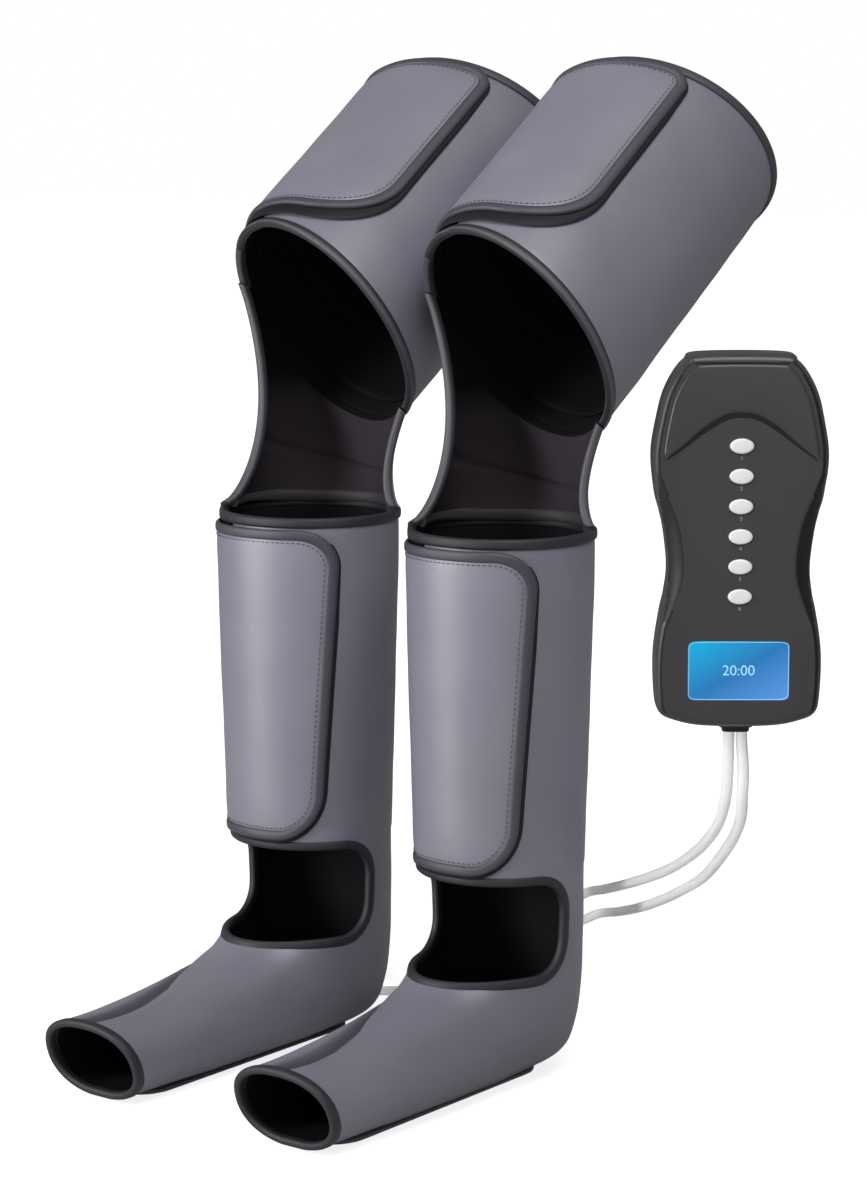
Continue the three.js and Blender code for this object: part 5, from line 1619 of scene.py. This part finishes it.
def button(z):
    """A domed cap over a wider flange that keeps it in."""
    mesh = stacked("button", [at_depth(oval(z, BUTTON_HALF * size if size <= 1 else BUTTON_HALF + 1.4), depth)
                              for size, depth in BUTTON_RINGS])
    smooth(mesh, 50)
    return mesh


for number, z in enumerate(button_heights, 1):
    on_handset(f"button_cap_{number}", button(z), "white_plastic", [f"button_{number}"], white_plastic,
               body=f"button_{number}")


def lettering(name, text, size, z, depth, rise=0.06):
    """Plain numerals on the handset's face."""
    curve = bpy.data.curves.new(name, "FONT")
    curve.body = text
    curve.size = size
    curve.align_x, curve.align_y = "CENTER", "CENTER"
    curve.extrude = rise / 2
    mesh = evaluated(curve)
    mesh.materials.clear()
    return placed(mesh, lambda points: at_depth(points[:, :2] + (0, z), depth) - points[:, 2:] * (0, 1, 0))


LENS_FACE = FRONT_DEPTH - 0.4
for number, z in enumerate(button_heights, 1):
    label = lettering(f"number_{number}", str(number), 3.6, z - 7.9, FRONT_DEPTH + 0.02)
    on_handset(f"button_number_{number}", label, "white_plastic", [], pale_print)
on_handset("display_digits", lettering("clock", "20:00", 9.5, SCREEN_Z, LENS_FACE + 0.02), "screen", [], screen_glow)


def screen_edge():
    """A thin pale line just inside the display's rim."""
    centres = at_depth(oval(SCREEN_Z, SCREEN_HALF - 0.45, 120, 14), LENS_FACE + 0.02)
    return band("screen_edge", centres, repeated((0, -1, 0), centres), 0.2, 0.05, closed=True, count=8)


on_handset("display_edge", screen_edge(), "screen", [], screen_glow)

# The gland's half width, half depth and height against the handset's underside
GLAND_RINGS = ((10.6, 5.6, 7), (10.9, 5.9, 6), (10.9, 5.9, -1.0), (10.4, 5.4, -1.5), (9.2, 5.1, -1.5),
               (8.7, 4.7, -4.2), (8.3, 4.3, -4.5))


def gland():
    """The hoses' way out: a flat foot on the underside and a short tapered sleeve."""
    c, s = superellipse(48, 4)
    mesh = stacked("gland", [np.stack([c * wide, s * deep, np.full(48, rise - HANDSET_HEIGHT / 2)], axis=1)
                             for wide, deep, rise in GLAND_RINGS])
    smooth(mesh, 40)
    return mesh


on_handset("hose_sleeve", gland(), "black_plastic", ["hose_gland"], dark_plastic)


def screen_material():
    """A blue display lit from behind: cyan at its upper left, deep blue, then pale blue at its lower right."""
    paint = Paint("screen", Roughness=0.22, Specular_IOR_Level=0.12, Emission_Strength=0.9)
    place = paint.place(False)
    origin = row(HANDSET_PLACE + np.array([0, 0, SCREEN_Z]))
    offset = paint.node("ShaderNodeVectorMath", {0: place, 1: tuple(origin)}, operation="SUBTRACT").outputs[0]
    slant = SIDEWAYS / (4 * SCREEN_HALF[0] * MM) - UP / (4 * SCREEN_HALF[1] * MM)
    share = paint.node("ShaderNodeVectorMath", {0: offset, 1: tuple(slant)}, operation="DOT_PRODUCT").outputs["Value"]
    shifted = paint.math("ADD", share, 0.5)
    ramp = paint.node("ShaderNodeValToRGB", {"Fac": shifted})
    stops = ramp.color_ramp.elements
    stops[0].position, stops[0].color = 0.0, (0.002, 0.42, 0.72, 1)
    stops[1].position, stops[1].color = 1.0, (0.1, 0.3, 0.75, 1)
    middle = stops.new(0.5)
    middle.color = (0.018, 0.18, 0.46, 1)
    fine = paint.noise(place, 1800.0, 1.0)
    glow = paint.mix(paint.ramp(fine, 0.3, 0.7, 0.0, 0.06), ramp.outputs["Color"], (0.2, 0.45, 0.75, 1))
    return paint.use(Base_Color=paint.mix(0.85, glow, (0.002, 0.004, 0.008, 1)), Emission_Color=glow)


def repaint(node, material):
    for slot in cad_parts[node].material_slots:
        slot.material = material


repaint("display_lens", screen_material())
repaint("display_module", dark_plastic)
repaint("circuit_board", green_board)
repaint("air_pump", pump_steel)
repaint("valve_block", valve_plastic)


# Floor and light

STUDIO = 14.0
FLOOR_COLOUR = (0.55, 0.55, 0.55, 1)
FLOOR_GLOW = 0.8
FLOOR_REACH = (0.7, 1.6)
WORLD_LIGHT = 0.24
MIDDLE = Vector((-0.12, -0.01, 0.38))


def floor_material():
    """Matte, and white to the eye: its glow is seen, and lights nothing."""
    paint = Paint("floor")
    spot = paint.node("ShaderNodeNewGeometry").outputs["Position"]
    away = paint.node("ShaderNodeVectorMath", {0: spot}, operation="LENGTH").outputs["Value"]
    paler = paint.ramp(away, *FLOOR_REACH, FLOOR_GLOW, 1.0)
    matte = paint.node("ShaderNodeBsdfDiffuse", {"Color": FLOOR_COLOUR})
    glow = paint.node("ShaderNodeEmission", {"Strength": paint.math("MULTIPLY", paint.seen_directly(), paler)})
    both = paint.node("ShaderNodeAddShader", {0: matte.outputs[0], 1: glow.outputs[0]})
    paint.links.new(both.outputs[0], paint.nodes["Material Output"].inputs["Surface"])
    paint.nodes.remove(paint.shader)
    return paint.material


def floor():
    bm = bmesh.new()
    bmesh.ops.create_grid(bm, x_segments=1, y_segments=1, size=STUDIO)
    thing = in_scene("floor", solid(bm, "floor"))
    thing.data.materials.append(floor_material())


floor()
world = bpy.data.worlds.new("studio")
bpy.context.scene.world = world
world.use_nodes = True
studio = Nodes(world.node_tree)
background = studio.nodes["Background"]
background.inputs["Color"].default_value = (1, 1, 1, 1)
studio.links.new(studio.ramp(studio.seen_directly(), 0.0, 1.0, WORLD_LIGHT, 1.0), background.inputs["Strength"])


def lamp(name, place, size, watts):
    light = bpy.data.lights.new(name, "AREA")
    light.shape = "RECTANGLE"
    light.size, light.size_y = size
    light.energy = watts
    thing = in_scene(name, light)
    thing.location = place
    look_at(thing, MIDDLE)


lamp("key", (-1.3, -2.35, 0.8), (0.7, 1.7), 66)
lamp("top", (0.95, -0.75, 2.1), (1.1, 1.1), 29)
lamp("fill", (1.9, -1.6, 1.0), (1.2, 1.6), 6)
